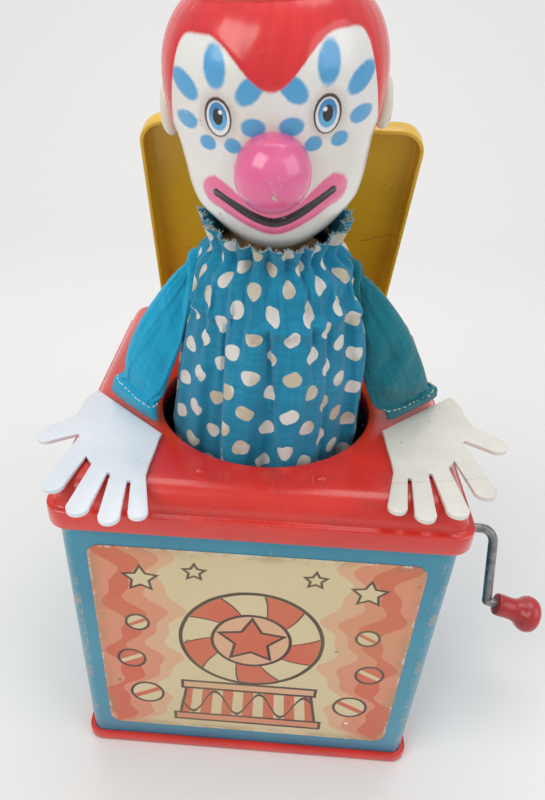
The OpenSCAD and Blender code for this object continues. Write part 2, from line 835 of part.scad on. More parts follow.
// Places a shape about the middle of the head
module on_head() {
    translate([clown_x, -head_front, head_z])
        rotate([pop_lean, head_roll, 0])
            children();
}

function head_point(p, grow) =
    let (q = [p[0] * head_r, p[1] * (p[1] < 0 ? face_h : head_r)])
    q + grow * q / norm(q);

module head_solid(grow) {
    rotate_extrude()
        polygon([for (p = head_line) head_point(p, grow)]);
}

module head() {
    color("ivory")
        difference() {
            on_head() {
                difference() {
                    union() {
                        head_solid(0);
                        translate([-0.1, nose_r - head_r - nose_out - 1.7, -0.31 * head_r])
                            sphere(r = nose_r);
                        for (s = [-1, 1])
                            translate([s * (head_r - 3.2), 2, -0.12 * head_r])
                                sphere(r = 4.5);
                    }
                    head_solid(-head_t);
                }
            }
            on_pop_axis()
                translate([0, 0, neck_top - 8])
                    cylinder(r = neck_r * 0.5 + close_gap, h = 16);
        }
}

module hat() {
    brim_z = 0.872 * head_r + 0.3;
    color("crimson")
        on_head()
            difference() {
                union() {
                    translate([0, 0, brim_z])
                        cylinder(r = brim_r, h = 2.2);
                    translate([0, 0, brim_z + 2.2 - eps])
                        cylinder(r1 = brim_r - 0.5, r2 = crown_r + 1, h = 3.8);
                    translate([0, 0, brim_z + 1])
                        cylinder(r = crown_r, h = crown_h - 4);
                    translate([0, 0, brim_z + crown_h - 3])
                        rotate_extrude()
                            polygon([[0, 0], [crown_r, 0], [crown_r - 1, 2.6],
                                     [crown_r - 3.6, 4.2], [0, 4.9]]);
                }
                head_solid(close_gap);
            }
}

// Flat sleeve hulled from station to station, ending at the cuff line
module sleeve(stations, cuff_out, cuff_in) {
    edges = concat([for (s = stations) [for (p = s) p + [clown_x, 0, 0]]], [[cuff_out, cuff_in]]);
    for (i = [0:len(edges) - 2])
        hull() {
            for (p = concat(edges[i], edges[i + 1]))
                translate(p)
                    sphere(r = sleeve_r, $fn = 16);
        }
}

// A cuff's two ends and its wrist, on the left side of the box
function cuff_end(side, wrist, s) =
    [wrist[0] + side * s * cuff_w / 2 * cos(cuff_angle),
     wrist[1] + s * cuff_w / 2 * sin(cuff_angle), cuff_z];
// the sleeve stops short of the hem band
hem_rise = [0, 0, 2 * sleeve_r + soft_gap];

module left_sleeve() {
    color("darkturquoise")
        sleeve(left_stations, cuff_end(1, left_wrist, -1) + hem_rise,
               cuff_end(1, left_wrist, 1) + hem_rise);
}

module right_sleeve() {
    color("darkcyan")
        sleeve(right_stations, cuff_end(-1, right_wrist, -1) + hem_rise,
               cuff_end(-1, right_wrist, 1) + hem_rise);
}

module cuff(side, wrist) {
    hull() {
        for (s = [-1, 1])
            translate(cuff_end(side, wrist, s))
                sphere(r = sleeve_r, $fn = 24);
    }
}

module left_cuff() {
    color("darkturquoise")
        cuff(1, left_wrist);
}

module right_cuff() {
    color("darkcyan")
        cuff(-1, right_wrist);
}

module finger(root, tip, root_r, tip_r) {
    d = (tip - root) / norm(tip - root);
    // sides that end a little inside both circles
    side = 0.985 * [-d[1], d[0]];
    translate(root)
        circle(r = root_r);
    translate(tip)
        circle(r = tip_r);
    polygon([root + side * root_r, root - side * root_r, tip - side * tip_r, tip + side * tip_r]);
}

// Flat hand cut from sheet, drawn as the left one with its wrist at the origin
module hand_shape() {
    difference() {
        union() {
            polygon(palm);
            for (f = fingers)
                finger(f[0], f[1], f[2] * finger_r, f[3] * finger_r);
        }
        rotate(cuff_angle)
            translate([-40, -hand_gap])
                square([80, 40]);
    }
}

module left_hand() {
    color("white")
        translate([left_wrist[0], left_wrist[1], hand_z])
            linear_extrude(hand_t)
                hand_shape();
}

module right_hand() {
    color("ivory")
        translate([right_wrist[0], right_wrist[1], hand_z])
            mirror([1, 0, 0])
                linear_extrude(hand_t)
                    hand_shape();
}

base_tray();
tin_wrap();
front_label();
top_cap();
lid();
lid_pin();
movement_frame();
movement_screws();
crank_bush();
crank();
crank_pinion();
crank_knob();
drum_axle();
music_drum();
drum_gear();
release_cam();
comb();
comb_screws();
latch_lever();
latch_pivot();
latch_spring();
spring_seat();
pop_spring();
neck_plug();
costume();
head();
hat();
left_sleeve();
right_sleeve();
left_cuff();
right_cuff();
left_hand();
right_hand();
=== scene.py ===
import math
import random

import bmesh
import bpy
import numpy as np
from mathutils import Euler, Matrix, Vector


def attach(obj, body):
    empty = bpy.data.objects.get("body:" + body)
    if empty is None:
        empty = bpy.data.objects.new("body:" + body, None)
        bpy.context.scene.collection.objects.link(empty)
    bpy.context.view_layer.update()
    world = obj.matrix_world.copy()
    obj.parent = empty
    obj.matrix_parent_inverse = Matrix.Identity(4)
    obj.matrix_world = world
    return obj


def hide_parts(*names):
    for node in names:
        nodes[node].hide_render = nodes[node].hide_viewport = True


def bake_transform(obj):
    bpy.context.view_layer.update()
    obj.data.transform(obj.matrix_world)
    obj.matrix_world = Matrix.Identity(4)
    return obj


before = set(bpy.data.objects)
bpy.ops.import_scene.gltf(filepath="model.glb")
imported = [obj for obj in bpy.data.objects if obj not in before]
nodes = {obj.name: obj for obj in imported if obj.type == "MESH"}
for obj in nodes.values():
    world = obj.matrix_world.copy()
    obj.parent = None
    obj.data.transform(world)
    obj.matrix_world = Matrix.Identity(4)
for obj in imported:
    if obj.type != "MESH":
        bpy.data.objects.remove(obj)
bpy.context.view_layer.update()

MM = 0.001
scene = bpy.context.scene
scene.view_settings.view_transform = "Standard"


# The table top and the room: a plain pale floor that turns up into a pale wall, wide soft
# lamps, and the camera close in front of the toy and a little above it. Measures are in metres.
FLOOR_HALF, FLOOR_FRONT, FLOOR_BACK, FLOOR_GAP = 1.6, -0.55, 0.55, 0.0003
BEND, ROOM_HEIGHT = 0.35, 1.6
CAMERA_PLACE, CAMERA_TURN = (0.001534, -0.219806, 0.279714), (56.6278, -1.6578, 3.7344)


def plain_mesh(name, points, faces):
    """An object at the origin whose place is in its mesh."""
    mesh = bpy.data.meshes.new(name)
    mesh.from_pydata([tuple(p) for p in points], [], [tuple(f) for f in faces])
    mesh.validate()
    mesh.shade_smooth()
    piece = bpy.data.objects.new(name, mesh)
    scene.collection.objects.link(piece)
    return piece


bend_angles = np.radians(range(0, 91, 9))
backdrop_line = [(FLOOR_FRONT, 0.0)]
backdrop_line += [(FLOOR_BACK + BEND * math.sin(a), BEND - BEND * math.cos(a)) for a in bend_angles]
backdrop_line += [(FLOOR_BACK + BEND, ROOM_HEIGHT)]
backdrop_points = [(x, y, z - FLOOR_GAP) for x in (-FLOOR_HALF, FLOOR_HALF) for y, z in backdrop_line]
across = len(backdrop_line)
backdrop = plain_mesh("backdrop", backdrop_points,
                      [(i, i + 1, across + i + 1, across + i) for i in range(across - 1)])
wall_paint = bpy.data.materials.new("pale_backdrop")
wall_paint.use_nodes = True
wall_shader = wall_paint.node_tree.nodes["Principled BSDF"]
wall_shader.inputs["Base Color"].default_value = (0.80, 0.79, 0.77, 1)
wall_shader.inputs["Roughness"].default_value = 0.75
backdrop.data.materials.append(wall_paint)


def soft_lamp(name, place, aim, size, power, colour=(1, 1, 1)):
    lamp = bpy.data.lights.new(name, "AREA")
    lamp.shape, lamp.size, lamp.size_y = "RECTANGLE", size[0], size[1]
    lamp.energy, lamp.color = power, colour
    holder = bpy.data.objects.new(name, lamp)
    scene.collection.objects.link(holder)
    holder.location = place
    holder.rotation_euler = (Vector(aim) - Vector(place)).to_track_quat("-Z", "Y").to_euler()


soft_lamp("window_light", place=(-0.75, -0.65, 1.05), aim=(0, 0, 0.14), size=(0.8, 0.8), power=8.0,
          colour=(1.0, 0.985, 0.96))
soft_lamp("room_light", place=(0.95, -0.45, 0.75), aim=(0, 0, 0.14), size=(0.9, 0.9), power=4.0,
          colour=(0.97, 0.985, 1.0))
soft_lamp("ceiling_light", place=(0.05, 0.35, 1.25), aim=(0, 0, 0.16), size=(0.9, 0.7), power=4.5)
world = bpy.data.worlds.new("room")
world.use_nodes = True
world.node_tree.nodes["Background"].inputs["Color"].default_value = (0.93, 0.95, 1.0, 1)
world.node_tree.nodes["Background"].inputs["Strength"].default_value = 0.55
scene.world = world

lens = bpy.data.cameras.new("camera")
lens.sensor_width, lens.lens = 36.0, 28.84
lens.shift_x, lens.shift_y = 0.0343, 0.0
lens.clip_start = 0.01
camera = bpy.data.objects.new("camera", lens)
scene.collection.objects.link(camera)
camera.location = CAMERA_PLACE
camera.rotation_euler = [math.radians(v) for v in CAMERA_TURN]
scene.camera = camera


# The tray under the box: red polystyrene, moulded in one piece. A low band shows round the
# foot, and an upstand inside it holds the tin wall. The moulding is glossy and a little scuffed.
WALL_HALF, WALL_DEEPER = 66.75, 2.25
WALL_X, WALL_Y, WALL_CORNER = WALL_HALF * MM, 69.0 * MM, 4.5 * MM
SMALLEST_CORNER = 0.05 * MM
TRAY_LINE = [(67.9, 0.0), (68.5, 0.15), (68.85, 0.7), (68.85, 3.7), (68.65, 4.25), (68.1, 4.5),
             (66.95, 4.5), (66.9, 4.3), (66.9, 2.05), (65.8, 2.0), (65.8, 8.6), (65.5, 9.0), (64.6, 9.0),
             (64.2, 8.6), (64.2, 2.2), (63.9, 2.0)]


def rounded_ring(half_x, half_y, corner, height, per_corner=8, per_side=8):
    """Points round a rectangle with round corners, starting on the +X side."""
    corner = max(corner, SMALLEST_CORNER)
    line = []
    for quarter, (sx, sy) in enumerate(((1, 1), (-1, 1), (-1, -1), (1, -1))):
        cx, cy = sx * (half_x - corner), sy * (half_y - corner)
        for k in range(per_corner + 1):
            a = math.radians(90 * quarter + 90 * k / per_corner)
            line.append(Vector((cx + corner * math.cos(a), cy + corner * math.sin(a), height)))
        nx, ny = [(-1, 1), (-1, -1), (1, -1), (1, 1)][quarter]
        a = math.radians(90 * (quarter + 1))
        here = line[-1]
        next_x, next_y = nx * (half_x - corner), ny * (half_y - corner)
        there = Vector((next_x + corner * math.cos(a), next_y + corner * math.sin(a), height))
        for k in range(1, per_side + 1):
            line.append(here.lerp(there, k / (per_side + 1)))
    return line


def wall_ring(half, height, per_corner=8, per_side=8):
    """A ring in line with the box's wall; half its width and its height are in millimetres."""
    x = half * MM
    return rounded_ring(x, x + WALL_DEEPER * MM, WALL_CORNER + x - WALL_X, height * MM, per_corner, per_side)


def face_outwards(piece):
    """Turns the faces of a piece so that they all point outwards."""
    shell = bmesh.new()
    shell.from_mesh(piece.data)
    bmesh.ops.recalc_face_normals(shell, faces=shell.faces)
    shell.to_mesh(piece.data)
    shell.free()


def loft(name, rings, loop=False):
    """A skin over rings of equal count, each end closed with a flat face unless it runs round in a loop."""
    n = len(rings[0])
    points = [p for ring in rings for p in ring]
    faces = []
    for i in range(len(rings) - 1 + (1 if loop else 0)):
        a, b = i * n, ((i + 1) % len(rings)) * n
        faces += [(a + k, a + (k + 1) % n, b + (k + 1) % n, b + k) for k in range(n)]
    if not loop:
        faces += [tuple(range(n - 1, -1, -1)), tuple(range(len(points) - n, len(points)))]
    piece = plain_mesh(name, points, faces)
    face_outwards(piece)
    return piece


def keep_creases(piece, degrees=38):
    """Smooth shading that stops at edges sharper than this."""
    piece.data.shade_smooth()
    piece.data.set_sharp_from_angle(angle=math.radians(degrees))


class Finish:
    """A material under construction: the Principled shader and the nodes that feed it."""

    def __init__(self, name, gloss=0.5, metal=0.0):
        self.material = bpy.data.materials.new(name)
        self.material.use_nodes = True
        self.tree = self.material.node_tree
        self.shader = self.tree.nodes["Principled BSDF"]
        self.shader.inputs["Roughness"].default_value = gloss
        self.shader.inputs["Metallic"].default_value = metal
        self.place = self.tree.nodes.new("ShaderNodeTexCoord").outputs["Object"]

    def node(self, kind, **inputs):
        made = self.tree.nodes.new(kind)
        for key, value in inputs.items():
            if key[0] == "_":
                setattr(made, key[1:], value)
        for key, value in inputs.items():
            if key[0] != "_":
                self.feed(made.inputs[key.replace("__", " ")], value)
        return made

    def feed(self, socket, value):
        if isinstance(value, Field):
            value = value.socket
        if isinstance(value, bpy.types.NodeSocket):
            self.tree.links.new(value, socket)
        else:
            socket.default_value = value

    def grain(self, size, detail=3.0, stretch=None, distortion=0.0, rough=0.5):
        """Soft noise, 0 to 1, whose blotches are about this many metres across."""
        place = self.place
        if stretch:
            place = self.node("ShaderNodeMapping", Vector=place, Scale=stretch).outputs[0]
        made = self.node("ShaderNodeTexNoise", Vector=place, Scale=1.0 / size, Detail=detail,
                         Distortion=distortion)
        made.inputs["Roughness"].default_value = rough
        return Field(self, made.outputs[0])

    def speckle(self, size, share):
        """1 inside scattered small spots, 0 elsewhere."""
        cells = self.node("ShaderNodeTexVoronoi", Vector=self.place, Scale=1.0 / size)
        chance = Field(self, self.node("ShaderNodeSeparateColor", Color=cells.outputs["Color"]).outputs[0])
        near = Field(self, cells.outputs["Distance"])
        return near.under(0.22, 0.08) * chance.under(share, 0.01)

    def mix(self, amount, first, second):
        made = self.node("ShaderNodeMix", _data_type="RGBA")
        self.feed(made.inputs["Factor"], amount)
        self.feed(made.inputs["A"], first)
        self.feed(made.inputs["B"], second)
        return made.outputs["Result"]

    def axes(self, shift=(0, 0, 0)):
        """X, Y and Z in millimetres, measured from a point."""
        parts = self.node("ShaderNodeSeparateXYZ", Vector=self.place)
        return [Field(self, parts.outputs[i]) * (1 / MM) - shift[i] for i in range(3)]

    def relief(self, height, depth, distance=0.001):
        bump = self.node("ShaderNodeBump", Height=height, Strength=depth, Distance=distance)
        if self.shader.inputs["Normal"].links:
            self.tree.links.new(self.shader.inputs["Normal"].links[0].from_socket, bump.inputs["Normal"])
        self.tree.links.new(bump.outputs[0], self.shader.inputs["Normal"])

    def coat(self, weight, gloss):
        """A clear skin over the colour."""
        self.shader.inputs["Coat Weight"].default_value = weight
        self.shader.inputs["Coat Roughness"].default_value = gloss

    def colour(self, value):
        self.feed(self.shader.inputs["Base Color"], value)
        return self

    def roughness(self, value):
        self.feed(self.shader.inputs["Roughness"], value)
        return self

    def on(self, *pieces):
        for piece in pieces:
            piece.data.materials.clear()
            piece.data.materials.append(self.material)


class Field:
    """A number that changes over a surface, worked out by its material's own nodes."""

    def __init__(self, finish, socket):
        self.finish, self.socket = finish, socket

    def work(self, operation, *others):
        made = self.finish.tree.nodes.new("ShaderNodeMath")
        made.operation = operation
        self.finish.feed(made.inputs[0], self)
        for i, other in enumerate(others):
            self.finish.feed(made.inputs[i + 1], other)
        return Field(self.finish, made.outputs[0])

    def __add__(self, other):
        return self.work("ADD", other)

    def __sub__(self, other):
        return self.work("SUBTRACT", other)

    def __mul__(self, other):
        return self.work("MULTIPLY", other)

    def __truediv__(self, other):
        return self.work("DIVIDE", other)

    def __abs__(self):
        return self.work("ABSOLUTE")

    def __pow__(self, other):
        return self.work("POWER", other)

    def least(self, other):
        return self.work("MINIMUM", other)

    def most(self, other):
        return self.work("MAXIMUM", other)

    def root(self):
        return self.work("SQRT")

    def wave(self):
        return self.work("SINE")

    def cosine(self):
        return self.work("COSINE")

    def floor(self):
        return self.work("FLOOR")

    def rest(self, step):
        """What is left over after as many whole steps as fit."""
        return self.work("FLOORED_MODULO", step)

    def turn(self, other):
        """The angle of the point that lies this far up and the other measure along."""
        return self.work("ARCTAN2", other)

    def from_spoke(self, count):
        """This angle, measured from the nearest of so many even spokes."""
        return (self + math.pi / count).rest(2 * math.pi / count) - math.pi / count

    def under(self, edge, soft):
        """1 where this is below the edge, falling to 0 over a soft width."""
        made = self.finish.tree.nodes.new("ShaderNodeMapRange")
        made.interpolation_type = "SMOOTHSTEP"
        for i, value in enumerate((self, edge - soft / 2, edge + soft / 2, 1.0, 0.0)):
            self.finish.feed(made.inputs[i], value)
        return Field(self.finish, made.outputs[0])

    def above(self, edge, soft):
        """1 where this is above the edge, falling to 0 over a soft width."""
        return self.under(edge, soft) * -1.0 + 1.0

    def between(self, low, high):
        """This, from 0 to 1, spread out from low to high."""
        return self * (high - low) + low

    def reach(self, other):
        """How far from the origin the point with these two measures lies."""
        return (self * self + other * other).root()


def moulded_plastic(name, deep, light, gloss=0.28, coat=0.35, scuffs=0.5, dust=0.25):
    """Glossy injection-moulded plastic: faint flow clouds, fine scuffs, grime and a few nicks."""
    made = Finish(name, gloss)
    clouds = made.grain(0.035, 4.0, distortion=0.6)
    base = made.mix(clouds.under(0.52, 0.5), (*light, 1), (*deep, 1))
    dirt = made.grain(0.009, 6.0, rough=0.7).under(0.40, 0.12) * dust
    base = made.mix(dirt, base, (*(0.55 * c + 0.03 for c in deep), 1))
    rubbed = made.grain(0.0016, 5.0, (1, 0.12, 1), rough=0.75).under(0.36, 0.06) * scuffs
    base = made.mix(rubbed * 0.35, base, (*(min(1, c + 0.16) for c in light), 1))
    nicks = made.speckle(0.003, 0.02)
    base = made.mix(nicks * 0.5, base, (*(0.45 * c + 0.02 for c in deep), 1))
    made.colour(base)
    made.roughness(made.grain(0.012, 5.0).between(gloss - 0.07, gloss + 0.12) + rubbed * 0.2)
    made.coat(coat, 0.18)
    made.shader.inputs["IOR"].default_value = 1.5
    made.relief(made.grain(0.0011, 3.0), 0.05, 0.0004)
    made.relief(made.grain(0.016, 2.0), 0.10, 0.0012)
    made.relief(nicks, 0.25, -0.0003)
    return made


red_plastic = moulded_plastic("red_moulded_plastic", (0.58, 0.018, 0.010), (0.72, 0.030, 0.014))
tray = loft("foot_tray", [wall_ring(x, z) for x, z in TRAY_LINE])
keep_creases(tray)
red_plastic.on(tray)
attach(tray, "box")
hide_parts("base_tray")


# The tin wall: one sheet of tinplate, printed teal and varnished, bent round four corners and
# folded together down the rear. Its foot stands in the tray and its top edge is under the top.
TIN_LINE = [(66.45, 2.0), (66.7, 2.2), (66.75, 2.6), (66.75, 132.3), (66.5, 132.6), (66.1, 132.6),
            (65.95, 132.3), (65.95, 2.3), (66.1, 2.0)]
SEAM_LINE = [(-3.5, 0.0), (-3.3, 0.45), (-2.8, 0.7), (2.4, 0.7), (2.8, 0.55), (3.1, 0.25), (3.5, 0.2),
             (3.5, -0.5), (-3.5, -0.5)]
SEAM_FOOT, SEAM_TOP, SEAM_STEPS = 5.6, 125.2, 28
CRANK_Y, CRANK_Z, BUSH_HOLE, SCREW_HOLE, DRILL_LENGTH = -10, 82, 4.0, 1.65, 6
SCREW_PLACES = ((-24.0, 51.985), (35.64, 99.985))
tin_wall = loft("tin_wall", [wall_ring(x, z, 10, 24) for x, z in TIN_LINE], loop=True)
seam = loft("tin_seam", [[Vector((x * MM, WALL_Y + y * MM, z * MM)) for x, y in SEAM_LINE]
                         for z in np.linspace(SEAM_FOOT, SEAM_TOP, SEAM_STEPS)])


def join_into(piece, *others):
    """Adds other meshes' faces to this piece's mesh."""
    whole = bmesh.new()
    whole.from_mesh(piece.data)
    for other in others:
        whole.from_mesh(other.data)
        bpy.data.objects.remove(other)
    whole.to_mesh(piece.data)
    whole.free()
    return piece


def as_piece(name, shell):
    """Makes a piece of a shape under construction."""
    mesh = bpy.data.meshes.new(name)
    shell.to_mesh(mesh)
    shell.free()
    piece = bpy.data.objects.new(name, mesh)
    scene.collection.objects.link(piece)
    return piece


def trim(piece, tool, operation):
    """Adds a closed shape to a piece, or takes it away."""
    bmesh.ops.recalc_face_normals(tool, faces=tool.faces)
    helper = as_piece("tool", tool)
    step = piece.modifiers.new("trim", "BOOLEAN")
    step.object, step.operation, step.solver = helper, operation, "EXACT"
    bpy.context.view_layer.update()
    made = bpy.data.meshes.new_from_object(piece.evaluated_get(bpy.context.evaluated_depsgraph_get()))
    piece.modifiers.clear()
    piece.data = made
    bpy.data.objects.remove(helper)


def side_hole(piece, y, z, radius):
    """Drills a round hole through the right wall; all measures in millimetres."""
    drill = bmesh.new()
    bmesh.ops.create_cone(drill, cap_ends=True, segments=40, radius1=radius * MM, radius2=radius * MM,
                          depth=DRILL_LENGTH * MM)
    turn = Vector((0, 0, 1)).rotation_difference(Vector((1, 0, 0))).to_matrix().to_4x4()
    place = Matrix.Translation(Vector((WALL_HALF, y, z)) * MM) @ turn
    bmesh.ops.transform(drill, matrix=place, verts=drill.verts)
    trim(piece, drill, "DIFFERENCE")


side_hole(tin_wall, CRANK_Y, CRANK_Z, BUSH_HOLE)
for screw_y, screw_z in SCREW_PLACES:
    side_hole(tin_wall, screw_y, screw_z, SCREW_HOLE)
join_into(tin_wall, seam)
keep_creases(tin_wall, 32)

teal_tin = Finish("teal_printed_tin", 0.3)
print_cloud = teal_tin.grain(0.05, 4.0, distortion=0.8)
teal = teal_tin.mix(print_cloud.under(0.5, 0.45), (0.020, 0.255, 0.370, 1), (0.012, 0.205, 0.315, 1))
age = teal_tin.grain(0.010, 6.0, rough=0.7).under(0.38, 0.1)
teal = teal_tin.mix(age * 0.30, teal, (0.10, 0.30, 0.30, 1))
tin_x, tin_y, _ = teal_tin.axes()
# the print is worn off along the four upright corners
corner_run = (abs(tin_x) - 62.3).most(0.0).reach((abs(tin_y) - 64.5).most(0.0))
at_corner = (abs(tin_x) - 62.4).above(0.0, 0.1) * (abs(tin_y) - 64.6).above(0.0, 0.1)
at_edge = (corner_run * -1.0 + 4.5).under(0.35, 0.5) * at_corner
worn = at_edge * teal_tin.grain(0.006, 6.0, rough=0.8).under(0.455, 0.07)
scratch = teal_tin.grain(0.0022, 4.0, (1, 1, 0.10), rough=0.8).under(0.30, 0.03)
teal = teal_tin.mix(scratch * 0.5, teal, (0.16, 0.42, 0.47, 1))
teal = teal_tin.mix(worn * 0.85, teal, (0.30, 0.29, 0.27, 1))
rust = teal_tin.speckle(0.014, 0.06) * teal_tin.grain(0.02, 3.0).under(0.5, 0.1)
teal = teal_tin.mix(rust * 0.7, teal, (0.16, 0.07, 0.035, 1))
teal_tin.colour(teal).roughness(teal_tin.grain(0.02, 5.0).between(0.24, 0.42) + worn * 0.15)
teal_tin.coat(0.4, 0.2)
teal_tin.relief(teal_tin.grain(0.045, 2.0), 0.16, 0.0030)
teal_tin.relief(worn + scratch * 0.4, 0.2, -0.0002)
teal_tin.on(tin_wall)
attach(tin_wall, "box")
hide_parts("tin_wrap")


# The picture panel on the front wall: a varnished print with round corners, on a cream ground.
# A show ball with a star stands on a striped drum, with bands of coral light at both sides.
PANEL_LINE = [(57.3, 0.0), (57.7, 0.06), (57.75, 0.18), (57.6, 0.28), (57.2, 0.3)]
PANEL_MIDDLE, PANEL_CORNER, PANEL_SHORTER = 65.35, 5.0, 4.6
INK, CREAM, CORAL = (0.035, 0.012, 0.008, 1), (0.66, 0.545, 0.325, 1), (0.60, 0.105, 0.045, 1)
ROSE, BLUSH = (0.66, 0.235, 0.130, 1), (0.68, 0.385, 0.225, 1)
INK_LINE = 0.62
# where the drum and the ball lie, in millimetres up from the panel's middle, and their sizes
DRUM_Z, DRUM_HALF, BALL_Z, BALL_RADIUS, BALL_HEART = -33.5, 11.0, 7.5, 26.5, 14.6
BALL_SLICES, STAR_POINTS, STAR_SLOPE = 5, 5, 0.40


def panel_ring(half, out):
    """A ring of the panel, half its width and how far it stands off the wall in millimetres."""
    ring = rounded_ring(half * MM, (half - PANEL_SHORTER) * MM, PANEL_CORNER * MM, 0, 8, 20)
    return [Vector((p.x, -WALL_Y - out * MM, PANEL_MIDDLE * MM + p.y)) for p in ring]


panel = loft("picture_panel", [panel_ring(x, d) for x, d in PANEL_LINE])
keep_creases(panel, 50)
show_print = Finish("panel_print", 0.32)
px, _, pz = show_print.axes(shift=(0, 0, PANEL_MIDDLE))
wobble = (show_print.grain(0.006, 2.0) - 0.5) * 0.35
px, pz = px + wobble, pz - wobble
art = CREAM
side = abs(px)
# stepped bands of light, closing in from both sides
for step, tint in ((29.0, BLUSH), (35.5, ROSE), (42.5, CORAL), (50.5, ROSE)):
    scallop = side + (pz * 0.21 + step * 0.11).wave() * 3.4 + (pz * 0.47 + step).wave() * 1.5
    bowed = scallop - (pz - 14.0) * (pz - 14.0) * 0.0022
    art = show_print.mix(bowed.above(step, 0.35), art, tint)


def outlined(shape, fill, line=INK_LINE):
    """Paints a shape, negative inside, in its fill with a dark line round it."""
    global art
    art = show_print.mix(shape.under(line, 0.25), art, INK)
    art = show_print.mix(shape.under(-line, 0.25), art, fill)


# the drum: a band that widens downwards, hoops above and below, and slanting ropes between
drum_half = pz * -0.16 + 21.0
body = (side - drum_half).most(abs(pz - DRUM_Z) - DRUM_HALF)
outlined(body, CORAL)
inside_body = body.under(-INK_LINE, 0.25)
stripe = (px / (pz * -0.004 + 0.80)).rest(9.0) - 4.5
art = show_print.mix((abs(stripe) - 2.2).under(0, 0.3) * inside_body, art, CREAM)
rope = (px * 0.35).wave() * 7.2 - (pz - DRUM_Z)
art = show_print.mix((abs(rope) - 0.9).under(0, 0.5) * inside_body, art, INK)
for hoop_z, hoop_half, tint in ((-22.4, 26.5, BLUSH), (-44.8, 30.0, ROSE)):
    outlined((side - hoop_half).most(abs(pz - hoop_z) - 2.3), tint)


def star(across, up, steepness):
    """A five-pointed star: the same value all along its outline, and less inside it."""
    reach, turn = across.reach(up), across.turn(up).from_spoke(STAR_POINTS)
    return reach * abs(turn).wave() * steepness + reach * turn.cosine() * STAR_SLOPE


# the ball: meridian stripes, with a star on its middle
ball_reach = px.reach(pz - BALL_Z)
outlined(ball_reach - BALL_RADIUS, CREAM, 0.75)
inside_ball = (ball_reach - BALL_RADIUS + 0.8).under(0, 0.25)
slice_turn = px.turn(pz - BALL_Z) + ball_reach * 0.018
segment = (slice_turn * BALL_SLICES).wave()
art = show_print.mix(segment.under(0.0, 0.06) * inside_ball, art, CORAL)
art = show_print.mix((abs(segment) - 0.075).under(0, 0.05) * inside_ball, art, INK)
outlined(ball_reach - BALL_HEART, BLUSH)
outlined(star(px, pz - BALL_Z, math.cos(math.radians(36)) * 0.98) - 5.1, CORAL, 0.5)
# small juggling balls with a slanting stripe, and corner stars
for x, z, r, tint in ((41, -30, 6.4, CREAM), (46, -8, 5.2, CORAL), (42.5, 14, 4.2, CREAM)):
    near = (side - x).reach(pz - z)
    outlined(near - r, tint, 0.55)
    slant = (abs((side - x) * 0.6 + (pz - z)) - r * 0.22).under(0, 0.3)
    art = show_print.mix(slant * (near - r + 0.55).under(0, 0.2), art, CORAL if tint == CREAM else CREAM)
for x, z, r in ((40, 38, 6.0), (21, 43, 3.8)):
    outlined(star(side - x, pz - z, 0.80) - r * 0.42, CREAM, 0.42)
# age: yellowed varnish, rubbed rim, brown edge stain and one bare speck
art = show_print.mix(show_print.grain(0.045, 4.0).under(0.5, 0.4) * 0.22, art, (0.50, 0.36, 0.13, 1))
rim = (side - 52.6).most(abs(pz) - 48.0)
rim_stain = (rim * -1.0).under(-2.2, 5.0) * show_print.grain(0.012, 5.0, rough=0.7).under(0.52, 0.25)
art = show_print.mix(rim_stain * 0.5, art, (0.30, 0.19, 0.08, 1))
chipped = (rim * -1.0).under(-4.3, 0.5) * show_print.grain(0.004, 5.0, rough=0.8).under(0.45, 0.06)
art = show_print.mix(chipped * 0.8, art, (0.62, 0.58, 0.50, 1))
fleck = show_print.speckle(0.004, 0.02)
art = show_print.mix(fleck * 0.75, art, (0.16, 0.10, 0.05, 1))
art = show_print.mix((px - 41.0).reach(pz + 41.5).under(0.75, 0.4), art, (0.80, 0.80, 0.76, 1))
show_print.colour(art).roughness(show_print.grain(0.018, 5.0, rough=0.65).between(0.26, 0.44))
show_print.coat(0.3, 0.22)
show_print.relief(show_print.grain(0.03, 3.0), 0.12, 0.0020)
show_print.relief(fleck + chipped, 0.2, -0.00015)
show_print.on(panel)
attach(panel, "box")
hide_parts("front_label")


# The top of the box: one red moulding pressed over the tin. A rim band, a deck with soft
# shoulders, a round opening with a collar, a pocket for the hinge and a slot for the catch.
OPENING_Y = -13.8 * MM
DECK, DECK_HALF, SHOULDER_Z, SHOULDER, TOP_WALL = 144.2, 60.0, 136.7, 7.5, 2.4
TOP_HALF = 70.0
# half the width, the corner's radius and the height of each ring, from the wall's foot up the rim band
TOP_LINE = [(67.2, 7.75, 127.5), (67.6, 7.75, 127.35), (69.3, 7.75, 127.4), (69.8, 7.75, 127.7),
            (70.0, 7.75, 128.3), (70.0, 7.75, 134.2), (69.85, 7.75, 134.9), (69.45, 7.75, 135.25),
            (68.9, 7.75, 135.35), (68.1, 7.7, 135.4), (67.75, 7.6, 135.65), (67.55, 7.5, 136.2),
            (67.5, 7.5, 136.6)]
COLLAR_LINE = [(40.2, 144.1), (39.6, 143.8), (39.25, 143.2), (39.2, 142.5), (39.2, 138.2), (39.35, 137.85),
               (40.2, 137.8), (41.0, 137.9), (41.2, 138.3), (41.2, 141.8)]
INSIDE_LINE = [(65.1, 5.1, 136.0), (65.1, 5.1, 132.9), (65.3, 5.0, 132.75), (66.9, 4.8, 132.75),
               (67.05, 4.8, 132.5), (67.05, 4.8, 127.8)]
# low and high corners of the hinge pocket's block, of its trough and of the slot for the lid's catch
POCKET_BLOCK = (-50.3, 39.8, 135.8), (50.3, 53.2, 143.2)
HINGE_TROUGH = (-44.3, 41.8, 137.8), (44.3, 51.2, 160.0)
CATCH_SLOT = (44.45, 18.0, 134.2), (50.05, 27.0, 160.0)
STUD_X, STUD_Y, STUD_Z, STUD_RADIUS = 20.0, -58.0, 143.95, 1.25


